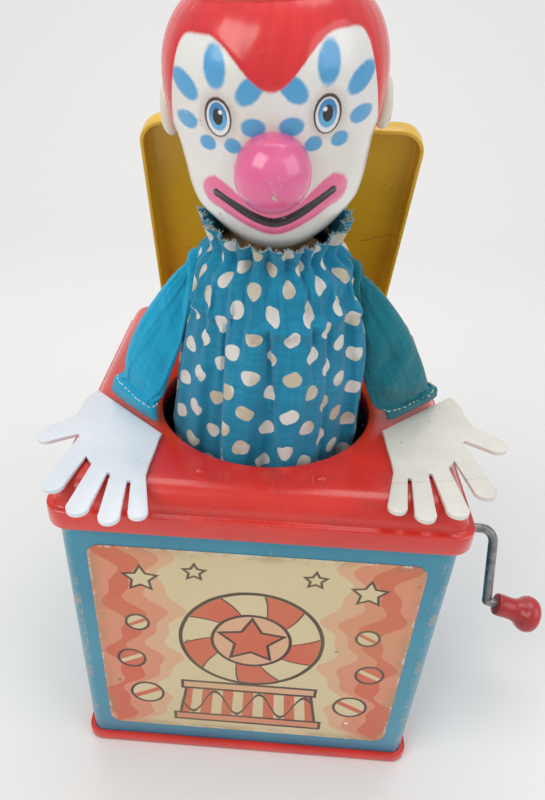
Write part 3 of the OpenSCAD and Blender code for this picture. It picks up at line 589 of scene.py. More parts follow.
def top_ring(half, corner, height):
    return rounded_ring(half * MM, (half + WALL_DEEPER) * MM, corner * MM, height * MM, 10, 18)


def shoulder_ring(radius, a):
    """A ring of the deck's round shoulder, at this angle up from its start."""
    out, up = radius * math.cos(a), radius * math.sin(a)
    return top_ring(DECK_HALF + out, max(0.2, out), SHOULDER_Z + up)


def opening_ring(radius, height, share=1.0):
    """A circle round the opening, with its points opposite those of the deck's edge."""
    outer = top_ring(DECK_HALF, 0.2, DECK)
    ring = []
    for k, p in enumerate(outer):
        a = math.atan2(p.y - OPENING_Y, p.x)
        even = math.radians(360.0 * (k - 5) / len(outer)) + math.radians(43)
        a += 0.72 * math.atan2(math.sin(even - a), math.cos(even - a))
        round_point = Vector((radius * MM * math.cos(a), OPENING_Y + radius * MM * math.sin(a), height * MM))
        ring.append(p.lerp(round_point, share) if share < 1 else round_point)
    return ring


top_rings = [top_ring(x, c - (TOP_HALF - x), z) for x, c, z in TOP_LINE]
top_rings += [shoulder_ring(SHOULDER, a) for a in np.radians(np.arange(9, 91, 9))]
top_rings += [opening_ring(40.8, DECK, share) for share in (0.3, 0.6, 0.85, 1.0)]
top_rings += [opening_ring(r, z) for r, z in COLLAR_LINE]
top_rings += [shoulder_ring(SHOULDER - TOP_WALL, a) for a in np.radians([90, 70, 50, 30, 10])]
top_rings += [top_ring(x, c, z) for x, c, z in INSIDE_LINE]
red_top = loft("red_top", top_rings, loop=True)


def block_shape(low, high, scale=MM):
    """A block from its low corner to its high corner, which are in millimetres, at this scale."""
    shell = bmesh.new()
    bmesh.ops.create_cube(shell, size=1.0)
    for v in shell.verts:
        v.co = Vector([(low[i] if v.co[i] < 0 else high[i]) * scale for i in range(3)])
    return shell


trim(red_top, block_shape(*POCKET_BLOCK), "UNION")
trim(red_top, block_shape(*HINGE_TROUGH), "DIFFERENCE")
trim(red_top, block_shape(*CATCH_SLOT), "DIFFERENCE")
studs = bmesh.new()
for x in (-STUD_X, STUD_X):
    stud_place = Matrix.Translation(Vector((x, STUD_Y, STUD_Z)) * MM) @ Matrix.Diagonal((1.4, 1.0, 0.85, 1.0))
    bmesh.ops.create_uvsphere(studs, u_segments=20, v_segments=12, radius=STUD_RADIUS * MM, matrix=stud_place)
join_into(red_top, as_piece("studs", studs))
keep_creases(red_top, 32)
top_red = moulded_plastic("red_top_plastic", (0.59, 0.017, 0.009), (0.71, 0.028, 0.013), gloss=0.24, coat=0.5,
                          scuffs=0.6, dust=0.3)
top_red.on(red_top)
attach(red_top, "box")
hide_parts("top_cap")


# The lid: a shallow yellow tray with round corners, moulded with its hinge barrel. It leans
# open behind the clown. A small crack runs in from its right side, as on an old brittle lid.
HINGE_Y, HINGE_Z, LEAN = 46.5 * MM, 143.0 * MM, math.radians(68.5)
LID_HALF, LID_HALF_DEPTH, LID_CORNER, LID_MIDDLE = 49.25, 47.05, 9.0, 55.05
# how far each ring is set in from the lid's edge, and its height above the hinge
LID_LINE = [(0.35, 1.5), (0.08, 1.75), (0.0, 2.2), (0.12, 6.6), (0.35, 7.7), (0.85, 8.6), (1.65, 9.25),
            (2.7, 9.5), (4.0, 9.5), (14.0, 9.5), (26.0, 9.5)]
LID_HOLLOW = [(25.0, 7.9), (14.0, 7.9), (4.4, 7.9), (3.1, 7.75), (2.2, 7.2), (1.75, 6.4), (1.62, 2.3),
              (1.5, 1.75), (1.25, 1.5)]
BARREL_LINE = [(1.3, -44.0), (2.6, -44.0), (2.95, -43.8), (3.0, -43.3), (3.0, 43.3), (2.95, 43.8),
               (2.6, 44.0), (1.3, 44.0)]
BORE_LINE = [(1.3, 44.0), (1.3, -44.0)]


def leaned(points):
    """From the closed lid's own measures (across, out from the hinge, up off it) to its place."""
    along, up = math.cos(LEAN), math.sin(LEAN)
    return [Vector((x * MM, HINGE_Y - u * MM * along + w * MM * up, HINGE_Z + u * MM * up + w * MM * along))
            for x, u, w in points]


def lid_ring(inset, height):
    half_x, half_y, corner = ((full - inset) * MM for full in (LID_HALF, LID_HALF_DEPTH, LID_CORNER))
    ring = rounded_ring(half_x, half_y, corner, 0, 12, 14)
    return leaned([(p.x * 1000, LID_MIDDLE - p.y * 1000, height) for p in ring])


whole_lid = bmesh.new()
lid_rings = [lid_ring(inset, height) for line in (LID_LINE, LID_HOLLOW) for inset, height in reversed(line)]
lid_points = [[whole_lid.verts.new(p) for p in ring] for ring in lid_rings]
for a, b in zip(lid_points, lid_points[1:]):
    for k in range(len(a)):
        whole_lid.faces.new((a[k], a[(k + 1) % len(a)], b[(k + 1) % len(a)], b[k]))
whole_lid.faces.new(lid_points[0])
whole_lid.faces.new(list(reversed(lid_points[-1])))
bmesh.ops.recalc_face_normals(whole_lid, faces=whole_lid.faces)
yellow_lid = as_piece("yellow_lid", whole_lid)


def bevelled_block(name, low, high, edge):
    """A block with softened edges, in millimetres."""
    shell = block_shape(low, high, 1.0)
    bmesh.ops.bevel(shell, geom=shell.edges, offset=edge, segments=2, profile=0.5, affect="EDGES")
    return as_piece(name, shell)


def lathe(name, line, around, place, close=True):
    """A turned shape: the line gives radius and height, in millimetres."""
    points, faces = [], []
    turns = [2 * math.pi * k / around for k in range(around)]
    for r, z in line:
        points += [place @ Vector((r * MM * math.cos(a), r * MM * math.sin(a), z * MM)) for a in turns]
    for i in range(len(line) - 1):
        low, high = i * around, (i + 1) * around
        faces += [(low + k, low + (k + 1) % around, high + (k + 1) % around, high + k) for k in range(around)]
    if close:
        faces += [tuple(range(around - 1, -1, -1)), tuple(range(len(points) - around, len(points)))]
    return plain_mesh(name, points, faces)


along_x = Matrix.Rotation(math.radians(90), 4, "Y")
hinge_place = Matrix.Translation((0, HINGE_Y, HINGE_Z)) @ along_x
barrel = lathe("lid_barrel", BARREL_LINE, 40, hinge_place, close=False)
bore = lathe("lid_bore", BORE_LINE, 40, hinge_place, close=False)
web = bevelled_block("lid_web", (-38, 2.0, 1.6), (38, 10.2, 3.15), 0.3)
catch = bevelled_block("lid_catch", (45.5, 21.0, -5.5), (47.65, 27.0, 6.0), 0.25)
for part in (web, catch):
    for v, p in zip(part.data.vertices, leaned([tuple(v.co) for v in part.data.vertices])):
        v.co = p
    part.data.flip_normals()
join_into(yellow_lid, barrel, bore, web, catch)
keep_creases(yellow_lid, 34)
yellow = moulded_plastic("yellow_moulded_plastic", (0.70, 0.425, 0.012), (0.79, 0.50, 0.022), gloss=0.3,
                         coat=0.3, scuffs=0.45, dust=0.18)
lid_x, lid_y, lid_z = yellow.axes(shift=(0, HINGE_Y * 1000, HINGE_Z * 1000))
lid_u = lid_z * math.sin(LEAN) - lid_y * math.cos(LEAN)
crack_line = abs(lid_u - (lid_x * 0.36 + 37.0) - (lid_x * 1.3).wave() * 0.25)
crack = crack_line.under(0.16, 0.2) * (lid_x - 34.0).above(0, 0.3)
before = yellow.shader.inputs["Base Color"].links[0].from_socket
yellow.colour(yellow.mix(crack * 0.8, before, (0.22, 0.11, 0.01, 1)))
yellow.relief(crack, 0.3, -0.0004)
yellow.on(yellow_lid)
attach(yellow_lid, "lid")
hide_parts("lid")


# The metal of the box: the lid's pin, the wall screws and the shafts are zinc-plated or plain
# steel wire, drawn and turned, with fine lines along the wire and a grey film on them.
def bare_metal(name, dark, bright, gloss, lines=(1, 1, 1)):
    made = Finish(name, gloss, 1.0)
    film = made.grain(0.004, 6.0, rough=0.7)
    base = made.mix(film.under(0.5, 0.4), (*bright, 1), (*dark, 1))
    drawn = made.grain(0.0004, 3.0, lines)
    stain = made.speckle(0.0018, 0.06)
    made.colour(made.mix(stain * 0.6, base, (0.11, 0.06, 0.035, 1)))
    made.roughness(drawn.between(gloss - 0.08, gloss + 0.14) + stain * 0.2)
    made.relief(drawn, 0.12, 0.0002)
    made.relief(film, 0.15, 0.0003)
    return made


steel = bare_metal("zinc_plated_steel", (0.34, 0.34, 0.35), (0.58, 0.58, 0.60), 0.34, (0.08, 1, 1))
STEEL_NODES = ("lid_pin", "movement_screws", "movement_frame", "drum_axle", "release_cam", "comb",
               "comb_screws", "latch_lever", "latch_pivot", "latch_spring")
steel.on(*[nodes[name] for name in STEEL_NODES])


# The crank: grey steel wire bent twice, turning in a plastic bush in the right wall. Its red
# knob is moulded in one piece, with a waist and a mushroom head, and runs loose on the wire.
CRANK_OUT, CRANK_TURN, CRANK_ARM, GRIP_LEAN = 102.75, math.radians(-26), 33, math.radians(15)
KNOB_LINE = [(2.06, 20.3), (2.06, 4.0), (2.5, 3.95), (4.1, 4.0), (4.65, 4.25), (4.85, 4.8), (4.9, 6.5),
             (4.8, 9.0), (4.75, 11.0), (4.95, 12.5), (5.6, 14.0), (6.7, 15.3), (7.5, 16.6), (7.9, 17.9),
             (7.9, 19.0), (7.6, 20.3), (6.9, 21.4), (5.7, 22.3), (4.0, 22.9), (2.0, 23.1), (0.3, 23.1)]
crank_steel = bare_metal("bent_crank_wire", (0.19, 0.185, 0.18), (0.40, 0.39, 0.38), 0.42, (0.2, 1, 1))
crank_steel.on(nodes["crank"])
bush_plastic = Finish("natural_nylon", 0.45)
nylon = bush_plastic.mix(bush_plastic.grain(0.006, 4.0), (0.60, 0.57, 0.48, 1), (0.72, 0.70, 0.62, 1))
bush_plastic.colour(nylon)
bush_plastic.relief(bush_plastic.grain(0.0008, 3.0), 0.1, 0.0003)
bush_plastic.shader.inputs["Subsurface Weight"].default_value = 0.1
bush_plastic.on(nodes["crank_bush"])
arm_end = Matrix.Rotation(CRANK_TURN, 4, "X") @ Matrix.Translation((0, 0, -CRANK_ARM * MM))
grip_place = Matrix.Translation(Vector((CRANK_OUT, CRANK_Y, CRANK_Z)) * MM) @ arm_end
knob = lathe("crank_knob_red", KNOB_LINE, 64, grip_place @ Matrix.Rotation(GRIP_LEAN, 4, "Y") @ along_x)
face_outwards(knob)
keep_creases(knob, 40)
knob_red = moulded_plastic("knob_plastic", (0.40, 0.010, 0.014), (0.52, 0.018, 0.020), gloss=0.3, coat=0.4,
                           scuffs=0.8, dust=0.35)
knob_red.on(knob)
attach(knob, "knob")
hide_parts("crank_knob")


# The movement inside the right wall: gears and a pinned drum, cut from brass and turning on steel
# shafts. Their shapes are the frame's own, and only their finish is made here.
brass = bare_metal("cut_brass", (0.45, 0.30, 0.11), (0.68, 0.50, 0.22), 0.3, (1, 0.2, 1))
brass.on(*[nodes[name] for name in ("crank_pinion", "music_drum", "drum_gear")])


# The clown's foundation: a turned pine block on the tray carries the spring, and a pine plug at
# its top end carries the head. Both are bare wood.
pine = Finish("turned_pine", 0.62)
wood_x, wood_y, _ = pine.axes()
from_heart = (wood_x * 0.9 + 30.0).reach(wood_y + 22.0) + (pine.grain(0.03, 3.0) - 0.5) * 6.0
year_rings = (from_heart * 2.1).wave() * 0.5 + 0.5
pine.colour(pine.mix(year_rings ** 2.0, (0.60, 0.42, 0.23, 1), (0.44, 0.27, 0.12, 1)))
pine.relief(pine.grain(0.0012, 4.0, (1, 1, 0.15)), 0.25, 0.0004)
pine.on(nodes["spring_seat"], nodes["neck_plug"])


# The pop-up spring: hard-drawn steel wire wound in eleven open turns between block and plug.
# It leans forward a little, as the risen clown does.
POP_LEAN, POP_FOOT = math.radians(6.5), Vector((-2.0, 4.26, 0.0)) * MM
SPRING_LOW, SPRING_HIGH, SPRING_TURNS, SPRING_RADIUS, WIRE_RADIUS = 17.4, 192.4, 11.0, 22 * MM, 1.1 * MM


def on_spring_axis(height, radius=0.0, turn=0.0):
    """A point beside the spring's axis, in millimetres; the turn runs from the front to the right."""
    x, y, z = radius * math.sin(turn), -radius * math.cos(turn), height
    tilt, level = math.sin(POP_LEAN), math.cos(POP_LEAN)
    return POP_FOOT + Vector((x, y * level - z * tilt, y * tilt + z * level)) * MM


class Growth:
    """A Geometry Nodes tree under construction; grow() gives the plain mesh that it makes."""

    def __init__(self, name, **sizes):
        self.tree = bpy.data.node_groups.new(name, "GeometryNodeTree")
        self.tree.interface.new_socket("Geometry", in_out="OUTPUT", socket_type="NodeSocketGeometry")
        self.tree.interface.new_socket("Geometry", in_out="INPUT", socket_type="NodeSocketGeometry")
        self.named, self.sizes = {}, sizes
        for label, value in sizes.items():
            kind = "NodeSocket" + {int: "Int", float: "Float"}.get(type(value), "Material")
            socket = self.tree.interface.new_socket(label, in_out="INPUT", socket_type=kind)
            self.named[label] = socket.identifier
        self.start = self.tree.nodes.new("NodeGroupInput")

    def size(self, label):
        return self.start.outputs[label]

    def node(self, kind, *inputs, **settings):
        shared = kind.startswith(("Function", "Shader"))
        made = self.tree.nodes.new(kind if shared else "GeometryNode" + kind)
        for key, value in settings.items():
            setattr(made, key, value)
        for label, value in inputs:
            socket = made.inputs[label]
            if isinstance(value, bpy.types.NodeSocket):
                self.tree.links.new(value, socket)
            else:
                socket.default_value = value
        return made

    def any_between(self, low, high):
        """Three random numbers for each point, between these corners, from the tree's own seed."""
        made = self.node("FunctionNodeRandomValue", ("Seed", self.size("Seed")), data_type="FLOAT_VECTOR")
        made.inputs["Min"].default_value, made.inputs["Max"].default_value = low, high
        return made.outputs[0]

    def grow(self, name, made, start=None):
        """Ends the tree in Realize Instances and Set Material, and bakes it."""
        real = self.node("RealizeInstances", ("Geometry", made))
        painted = self.node("SetMaterial", ("Geometry", real.outputs[0]), ("Material", self.size("Finish")))
        end = self.tree.nodes.new("NodeGroupOutput")
        self.tree.links.new(painted.outputs[0], end.inputs[0])
        seed = start or plain_mesh(name + "_seed", [], [])
        step = seed.modifiers.new("grow", "NODES")
        step.node_group = self.tree
        for label, value in self.sizes.items():
            step[self.named[label]] = value
        bpy.context.view_layer.update()
        mesh = bpy.data.meshes.new_from_object(seed.evaluated_get(bpy.context.evaluated_depsgraph_get()))
        mesh.name = name
        seed.modifiers.clear()
        bpy.data.objects.remove(seed)
        piece = bpy.data.objects.new(name, mesh)
        scene.collection.objects.link(piece)
        return piece


spring_wire = bare_metal("spring_wire", (0.30, 0.30, 0.31), (0.55, 0.55, 0.56), 0.32, (0.3, 0.3, 1))
coil = Growth("coil_spring", Turns=SPRING_TURNS, Radius=SPRING_RADIUS, Height=(SPRING_HIGH - SPRING_LOW) * MM,
              Wire=WIRE_RADIUS, Finish=spring_wire.material)
helix = coil.node("CurveSpiral", ("Resolution", 44), ("Rotations", coil.size("Turns")),
                  ("Start Radius", coil.size("Radius")), ("End Radius", coil.size("Radius")),
                  ("Height", coil.size("Height")))
wire_round = coil.node("CurvePrimitiveCircle", ("Resolution", 10), ("Radius", coil.size("Wire")))
wire_skin = coil.node("CurveToMesh", ("Curve", helix.outputs[0]), ("Profile Curve", wire_round.outputs[0]),
                      ("Fill Caps", True))
spring = coil.grow("pop_spring_coil", wire_skin.outputs[0])
spring.data.transform(Matrix.Translation(on_spring_axis(SPRING_LOW)) @ Matrix.Rotation(POP_LEAN, 4, "X"))
spring.data.shade_smooth()
on_spring_axis(SPRING_LOW)
on_spring_axis(SPRING_HIGH)
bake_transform(spring)
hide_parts("pop_spring")


# The costume: printed cotton sewn in a tube, stapled round the block in the box and gathered on
# a thread under the chin, where its raw edge stands as a short frill. It falls in long folds.
COSTUME_COLUMNS, COSTUME_GIRTH, COTTON_THICKNESS = 208, 236.0, 0.35
# the height of the thread that gathers it, and those of its foot and of the frill's edge
GATHER, COSTUME_FOOT, FRILL_TOP = 211.0, 9.0, 220.5
COSTUME_HEIGHTS = np.concatenate([np.linspace(COSTUME_FOOT, 128.0, 22), np.linspace(129.6, GATHER, 72),
                                  np.linspace(211.8, FRILL_TOP, 12)])
# each row gives a height and the cloth's mean radius there
COSTUME_LINE = [(9, 35.0), (22, 35.4), (60, 35.6), (110, 35.8), (132, 36.8), (146, 37.2), (158, 37.4),
                (170, 37.2), (180, 36.2), (186, 35.2), (190, 34.5), (196, 33.2), (200, 31.6), (203, 29.4),
                (206, 26.4), (208.5, 23.0), (GATHER, 20.8), (213, 20.7), (215, 21.3), (217, 22.2),
                (220.5, 23.6)]
# how far the cloth's middle stands to the right of the spring, and in front of it
COSTUME_SHIFT = [(9, 0, 0), (110, 0.3, 0.5), (140, 1.6, 1.6), (160, 2.6, 0.9), (186, 3.9, 0.0),
                 (200, 3.4, 0.2), (208, 2.0, -0.2), (220.5, 1.8, -0.4)]
PLEATS, PLEAT_DEEPEST, FOLD_DEPTH, OVERHANG = 24, 2.4, 2.3, 3.4
# the cloth keeps this far from the opening's middle where it passes through the deck
IN_OPENING, OPENING_LIMIT, FREE_LIMIT = (126, 150), 38.4, 60.0


def smooth_through(keys, at):
    """A smooth line through key rows, each a place and the values there."""
    keys = np.array(keys, float)
    place, values = keys[:, 0], keys[:, 1:]
    slope = np.gradient(values, place, axis=0)
    k = np.clip(np.searchsorted(place, at) - 1, 0, len(place) - 2)
    gap = (place[k + 1] - place[k])[:, None]
    t = np.clip((np.asarray(at) - place[k])[:, None] / gap, 0, 1)
    made = ((1 + 2 * t) * (1 - t) ** 2 * values[k] + t * (1 - t) ** 2 * gap * slope[k]
            + t * t * (3 - 2 * t) * values[k + 1] + t * t * (t - 1) * gap * slope[k + 1])
    return made if made.shape[1] > 1 else made[:, 0]


def swell(x, low, high):
    t = np.clip((x - low) / (high - low), 0, 1)
    return t * t * (3 - 2 * t)


dice = random.Random(41)
costume_shift = smooth_through(COSTUME_SHIFT, COSTUME_HEIGHTS)
turns = np.linspace(0, 2 * math.pi, COSTUME_COLUMNS, endpoint=False)
from_front = np.abs(np.arctan2(np.sin(turns), np.cos(turns)))
pleat_phase = PLEATS * turns
pleat_phase += sum(dice.uniform(0.3, 0.75) * np.sin(n * turns + dice.uniform(0, 6.28)) for n in (2, 3, 5, 7))
pleat_share = 0.82 + sum(dice.uniform(0.05, 0.13) * np.sin(n * turns + dice.uniform(0, 6.28))
                         for n in (4, 9, 13))
drape = [(n, dice.uniform(0.7, 1.0) * s, dice.uniform(0, 6.28), dice.uniform(-0.012, 0.012))
         for n, s in ((5, 0.5), (8, 1.0), (10, 0.9), (13, 0.6), (19, 0.3))]
frill_rise = 0.70 + 0.30 * swell(np.degrees(from_front), 22, 78)
costume_points, costume_places, run = [], [], 0.0
for i, h in enumerate(COSTUME_HEIGHTS):
    # the frill is pressed low under the chin and stands up round the sides and behind
    heights = np.where(h > GATHER, GATHER + (h - GATHER) * frill_rise, h)
    radius = smooth_through(COSTUME_LINE, heights)
    spare = np.maximum(0.0, COSTUME_GIRTH / (2 * math.pi * radius) - 1.03)
    pleat_depth = radius / PLEATS * (2 * np.sqrt(spare) * (1 + 0.15 * spare))
    depth = np.minimum(PLEAT_DEEPEST, pleat_depth * swell(h, 172, 196))
    wave = np.sin(pleat_phase + 0.5 * np.sin(h * 0.05 + 3 * turns))
    across = depth * pleat_share * (wave + 0.22 * np.sin(2 * pleat_phase + 1.0))
    fold = FOLD_DEPTH * swell(h, 60, 130) * (1 - swell(h, 186, 206))
    hang = sum(w * np.sin(n * turns + phase + lean * (h - 140)) for n, w, phase, lean in drape)
    across += fold * np.tanh(hang * 0.9) * 1.25
    # the gathered bodice hangs over in front and tucks under itself
    overhang = math.exp(-((h - 199.0) / (5.0 if h > 199.0 else 1.7)) ** 2)
    across += OVERHANG * overhang * (1 - swell(from_front, 0.9, 1.7)) * (0.8 + 0.2 * np.sin(5 * turns + 1))
    reach = radius - 0.35 * depth + across
    limit = OPENING_LIMIT if IN_OPENING[0] < h < IN_OPENING[1] else FREE_LIMIT
    for k, turn in enumerate(turns):
        shift = Vector((costume_shift[i][0], -costume_shift[i][1], 0)) * MM
        point = on_spring_axis(heights[k], reach[k], turn) + shift
        away = Vector((point.x, point.y - OPENING_Y))
        if away.length > limit * MM:
            away *= limit * MM / away.length
            point.x, point.y = away.x, away.y + OPENING_Y
        costume_points.append(point)
    run += 0 if i == 0 else math.hypot(h - COSTUME_HEIGHTS[i - 1], radius[0] - last_radius)
    last_radius = radius[0]
    costume_places.append(run)


def cloth_grid(name, points, columns, places, girth):
    """A tube of cloth in rows and columns, whose map is the flat cloth in metres."""
    rows = len(points) // columns
    faces = []
    for low in range(0, (rows - 1) * columns, columns):
        high = low + columns
        faces += [(low + k, low + (k + 1) % columns, high + (k + 1) % columns, high + k)
                  for k in range(columns)]
    piece = plain_mesh(name, points, faces)
    flat = piece.data.uv_layers.new(name="flat_cloth").data
    corner = 0
    for i in range(rows - 1):
        for k in range(columns):
            for dk, di in ((0, 0), (1, 0), (1, 1), (0, 1)):
                flat[corner].uv = ((k + dk) * girth / columns * MM, places[i + di] * MM)
                corner += 1
    return piece


CLOTH_SCALE, CLOTH_STIFFNESS, CLOTH_DAMPING = 10, 8.0, 6.0


def settle_cloth(piece, held, frames, ease, furthest):
    """Lets a cloth piece crease and hang by simulation, at a larger size; held is 0 to 1 for each point."""
    work = bpy.data.objects.new("cloth_work", piece.data.copy())
    scene.collection.objects.link(work)
    work.data.transform(Matrix.Scale(CLOTH_SCALE, 4))
    group = work.vertex_groups.new(name="held")
    for k, weight in enumerate(held):
        if weight > 0:
            group.add([k], float(weight), "REPLACE")
    step = work.modifiers.new("cloth", "CLOTH")
    cloth = step.settings
    cloth.vertex_group_mass, cloth.quality, cloth.mass, cloth.air_damping = "held", 7, 0.25, 2.0
    cloth.tension_stiffness = cloth.compression_stiffness = CLOTH_STIFFNESS
    cloth.shear_stiffness, cloth.bending_stiffness, cloth.pin_stiffness = CLOTH_STIFFNESS * 0.6, 0.25, 4.0
    cloth.tension_damping = cloth.compression_damping = cloth.shear_damping = CLOTH_DAMPING
    cloth.shrink_min = -ease
    step.collision_settings.use_collision = False
    step.collision_settings.use_self_collision = False
    for frame_number in range(1, frames + 1):
        scene.frame_set(frame_number)
    hung = bpy.data.meshes.new_from_object(work.evaluated_get(bpy.context.evaluated_depsgraph_get()))
    before, after = np.empty(3 * len(piece.data.vertices)), np.empty(3 * len(hung.vertices))
    piece.data.vertices.foreach_get("co", before)
    hung.vertices.foreach_get("co", after)
    move = after.reshape(-1, 3) / CLOTH_SCALE - before.reshape(-1, 3)
    nothing = 1e-9
    far = np.linalg.norm(move, axis=1, keepdims=True) + nothing
    move *= np.minimum(far, furthest * MM) / far
    piece.data.vertices.foreach_set("co", (before.reshape(-1, 3) + move).ravel())
    piece.data.update()
    scene.frame_set(1)
    bpy.data.objects.remove(work)
    bpy.data.meshes.remove(hung)


costume = cloth_grid("spotted_costume", costume_points, COSTUME_COLUMNS, costume_places, COSTUME_GIRTH)
costume_held = np.maximum(1 - swell(COSTUME_HEIGHTS, 18, 60), swell(COSTUME_HEIGHTS, 204, 209))
held_by_opening = 0.10 * swell(COSTUME_HEIGHTS, 120, 140) * (1 - swell(COSTUME_HEIGHTS, 150, 170))
costume_held = np.maximum(costume_held, held_by_opening)
settle_cloth(costume, np.repeat(costume_held, COSTUME_COLUMNS), frames=22, ease=0.03, furthest=6.0)
for v in costume.data.vertices:
    away = Vector((v.co.x, v.co.y - OPENING_Y))
    if IN_OPENING[0] * MM < v.co.z < IN_OPENING[1] * MM and away.length > (OPENING_LIMIT + 0.1) * MM:
        away *= (OPENING_LIMIT + 0.1) * MM / away.length
        v.co.x, v.co.y = away.x, away.y + OPENING_Y
thick = costume.modifiers.new("cloth_thickness", "SOLIDIFY")
thick.thickness, thick.offset = COTTON_THICKNESS * MM, -1.0


THREAD_STEP = 0.42


class Weave(Finish):
    """Plain-woven cotton: colour, slub and weave follow the flat cloth."""

    def __init__(self, name, deep, light):
        super().__init__(name, 0.85)
        self.flat = self.node("ShaderNodeUVMap", _uv_map="flat_cloth").outputs[0]
        parts = self.node("ShaderNodeSeparateXYZ", Vector=self.flat)
        self.u, self.v = (Field(self, parts.outputs[i]) * (1 / MM) for i in range(2))
        self.place, kept = self.flat, self.place
        slub = self.grain(0.0016, 3.0, (1, 0.12, 1)) * 0.5 + self.grain(0.0016, 3.0, (0.12, 1, 1)) * 0.5
        self.place = kept
        self.base = self.mix(slub.under(0.5, 0.35), (*light, 1), (*deep, 1))
        faded = self.grain(0.03, 4.0).under(0.48, 0.3) * 0.35
        self.base = self.mix(faded, self.base, (*(0.72 * c for c in deep), 1))
        weave = (self.u * (2 * math.pi / THREAD_STEP)).wave() * (self.v * (2 * math.pi / THREAD_STEP)).wave()
        self.relief(weave * 0.5 + slub, 0.35, 0.00022)
        self.relief(self.grain(0.007, 3.0), 0.25, 0.0008)
        self.shader.inputs["Sheen Weight"].default_value = 0.22
        self.shader.inputs["Sheen Roughness"].default_value = 0.5
        self.shader.inputs["Specular IOR Level"].default_value = 0.3


spotted = Weave("spotted_cotton", (0.003, 0.195, 0.335), (0.010, 0.275, 0.440))
DOTS_ROUND, DOT_ROW, DOT_HALF_WIDTH, DOT_HALF_HEIGHT = 15, 6.6, 3.05, 2.6
DOT_STEP = COSTUME_GIRTH / DOTS_ROUND
# every second row of dots is set half a step along
row = (spotted.v / DOT_ROW).floor()
dot_x = ((spotted.u / DOT_STEP + row * 0.5).rest(1.0) - 0.5) * DOT_STEP
dot_y = ((spotted.v / DOT_ROW).rest(1.0) - 0.5) * DOT_ROW
dot_edge = (dot_x / DOT_HALF_WIDTH).reach(dot_y / DOT_HALF_HEIGHT) + (spotted.grain(0.006, 2.0) - 0.5) * 0.16
dot = dot_edge.under(1.0, 0.08)
yellowed = spotted.grain(0.016, 4.0).under(0.47, 0.14)
dot_cloth = spotted.mix(yellowed, (0.72, 0.70, 0.64, 1), (0.56, 0.49, 0.36, 1))
dot_stain = spotted.grain(0.009, 5.0, rough=0.7).under(0.36, 0.08)
dot_cloth = spotted.mix(dot_stain * 0.6, dot_cloth, (0.47, 0.33, 0.16, 1))
spotted.colour(spotted.mix(dot, spotted.base, dot_cloth))
spotted.roughness(dot.between(0.82, 0.74))
spotted.on(costume)
on_spring_axis(20.0)
on_spring_axis(204.0)
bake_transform(costume)
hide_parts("costume")


# The frayed edge of the frill: short pale ends of warp thread all round, at every angle.
thread_white = Finish("frayed_cotton", 0.9)
thread_ends = thread_white.mix(thread_white.grain(0.004, 3.0), (0.60, 0.56, 0.46, 1), (0.10, 0.36, 0.46, 1))
thread_white.colour(thread_ends)
thread_white.relief(thread_white.grain(0.0005, 2.0), 0.3, 0.0001)


def edge_line(name, points):
    """A closed line of edges through these points."""
    mesh = bpy.data.meshes.new(name)
    mesh.from_pydata(points, [(k, (k + 1) % len(points)) for k in range(len(points))], [])
    line = bpy.data.objects.new(name, mesh)
    scene.collection.objects.link(line)
    return line


last_row = (len(COSTUME_HEIGHTS) - 1) * COSTUME_COLUMNS
frill = [costume.data.vertices[last_row + k].co.copy() for k in range(COSTUME_COLUMNS)]
frill_line = edge_line("frill_edge", frill)
fray = Growth("frayed_ends", Threads=520, Length=1.3 * MM, Thickness=0.11 * MM, Seed=5,
              Finish=thread_white.material)
edge_curve = fray.node("MeshToCurve", ("Mesh", fray.start.outputs[0]))
edge_points = fray.node("ResampleCurve", ("Curve", edge_curve.outputs[0]), ("Count", fray.size("Threads")))
thread = fray.node("MeshCone", ("Vertices", 4), ("Depth", fray.size("Length")),
                   ("Radius Top", fray.size("Thickness")), ("Radius Bottom", fray.size("Thickness")))
lean_out = fray.any_between((-1.1, -1.1, 0.0), (1.1, 1.1, 6.28))
grow_out = fray.any_between((0.7, 0.7, 0.35), (1.3, 1.3, 1.25))
ends = fray.node("InstanceOnPoints", ("Points", edge_points.outputs[0]), ("Instance", thread.outputs["Mesh"]),
                 ("Rotation", lean_out), ("Scale", grow_out))
frayed = fray.grow("frayed_edge", ends.outputs[0], frill_line)
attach(frayed, "clown")


# The head: blow-moulded vinyl, hollow and glossy, pushed on the plug. Face and hair are sprayed
# through masks with soft edges, and the paint has worn a little on what stands out.
HEAD, HEAD_TURN = Vector((-2.0, -23.2, 251.5)), (POP_LEAN, math.radians(-4.0), 0.0)
HEAD_PLACE = Matrix.Translation(HEAD * MM) @ Euler(HEAD_TURN).to_matrix().to_4x4()
HEAD_LINE = [(0.4, -41.6), (7.0, -41.0), (12.5, -38.9), (17.2, -35.5), (21.0, -31.1), (24.0, -26.2),
             (25.8, -20.5), (26.7, -14.5), (27.5, -9.5), (28.8, -4.0), (29.8, 1.0), (30.3, 6.0),
             (30.1, 11.0), (29.2, 15.5), (27.4, 19.8), (24.5, 23.7), (20.4, 27.1), (15.0, 29.9),
             (8.0, 31.6), (0.3, 32.1)]
HEAD_ROWS, HEAD_COLUMNS = 112, 160
# the fringe: its height and depth, the half width of its two arches, and where it falls to the side locks
FRINGE_Z, FRINGE_DEPTH, FRINGE_ARCH, LOCK_X, LOCK_WIDTH, LOCK_FALL = 15.0, 5.6, 15.5, 18.5, 9.5, 26.0
HAIR_FRONT, NAPE_Z, NAPE_FALL, NAPE_WAVE, NAPE_WAVES = -1.5, -15.5, 15.0, 0.9, 9
HAIR_THICKNESS, STRANDS = 0.45, 34
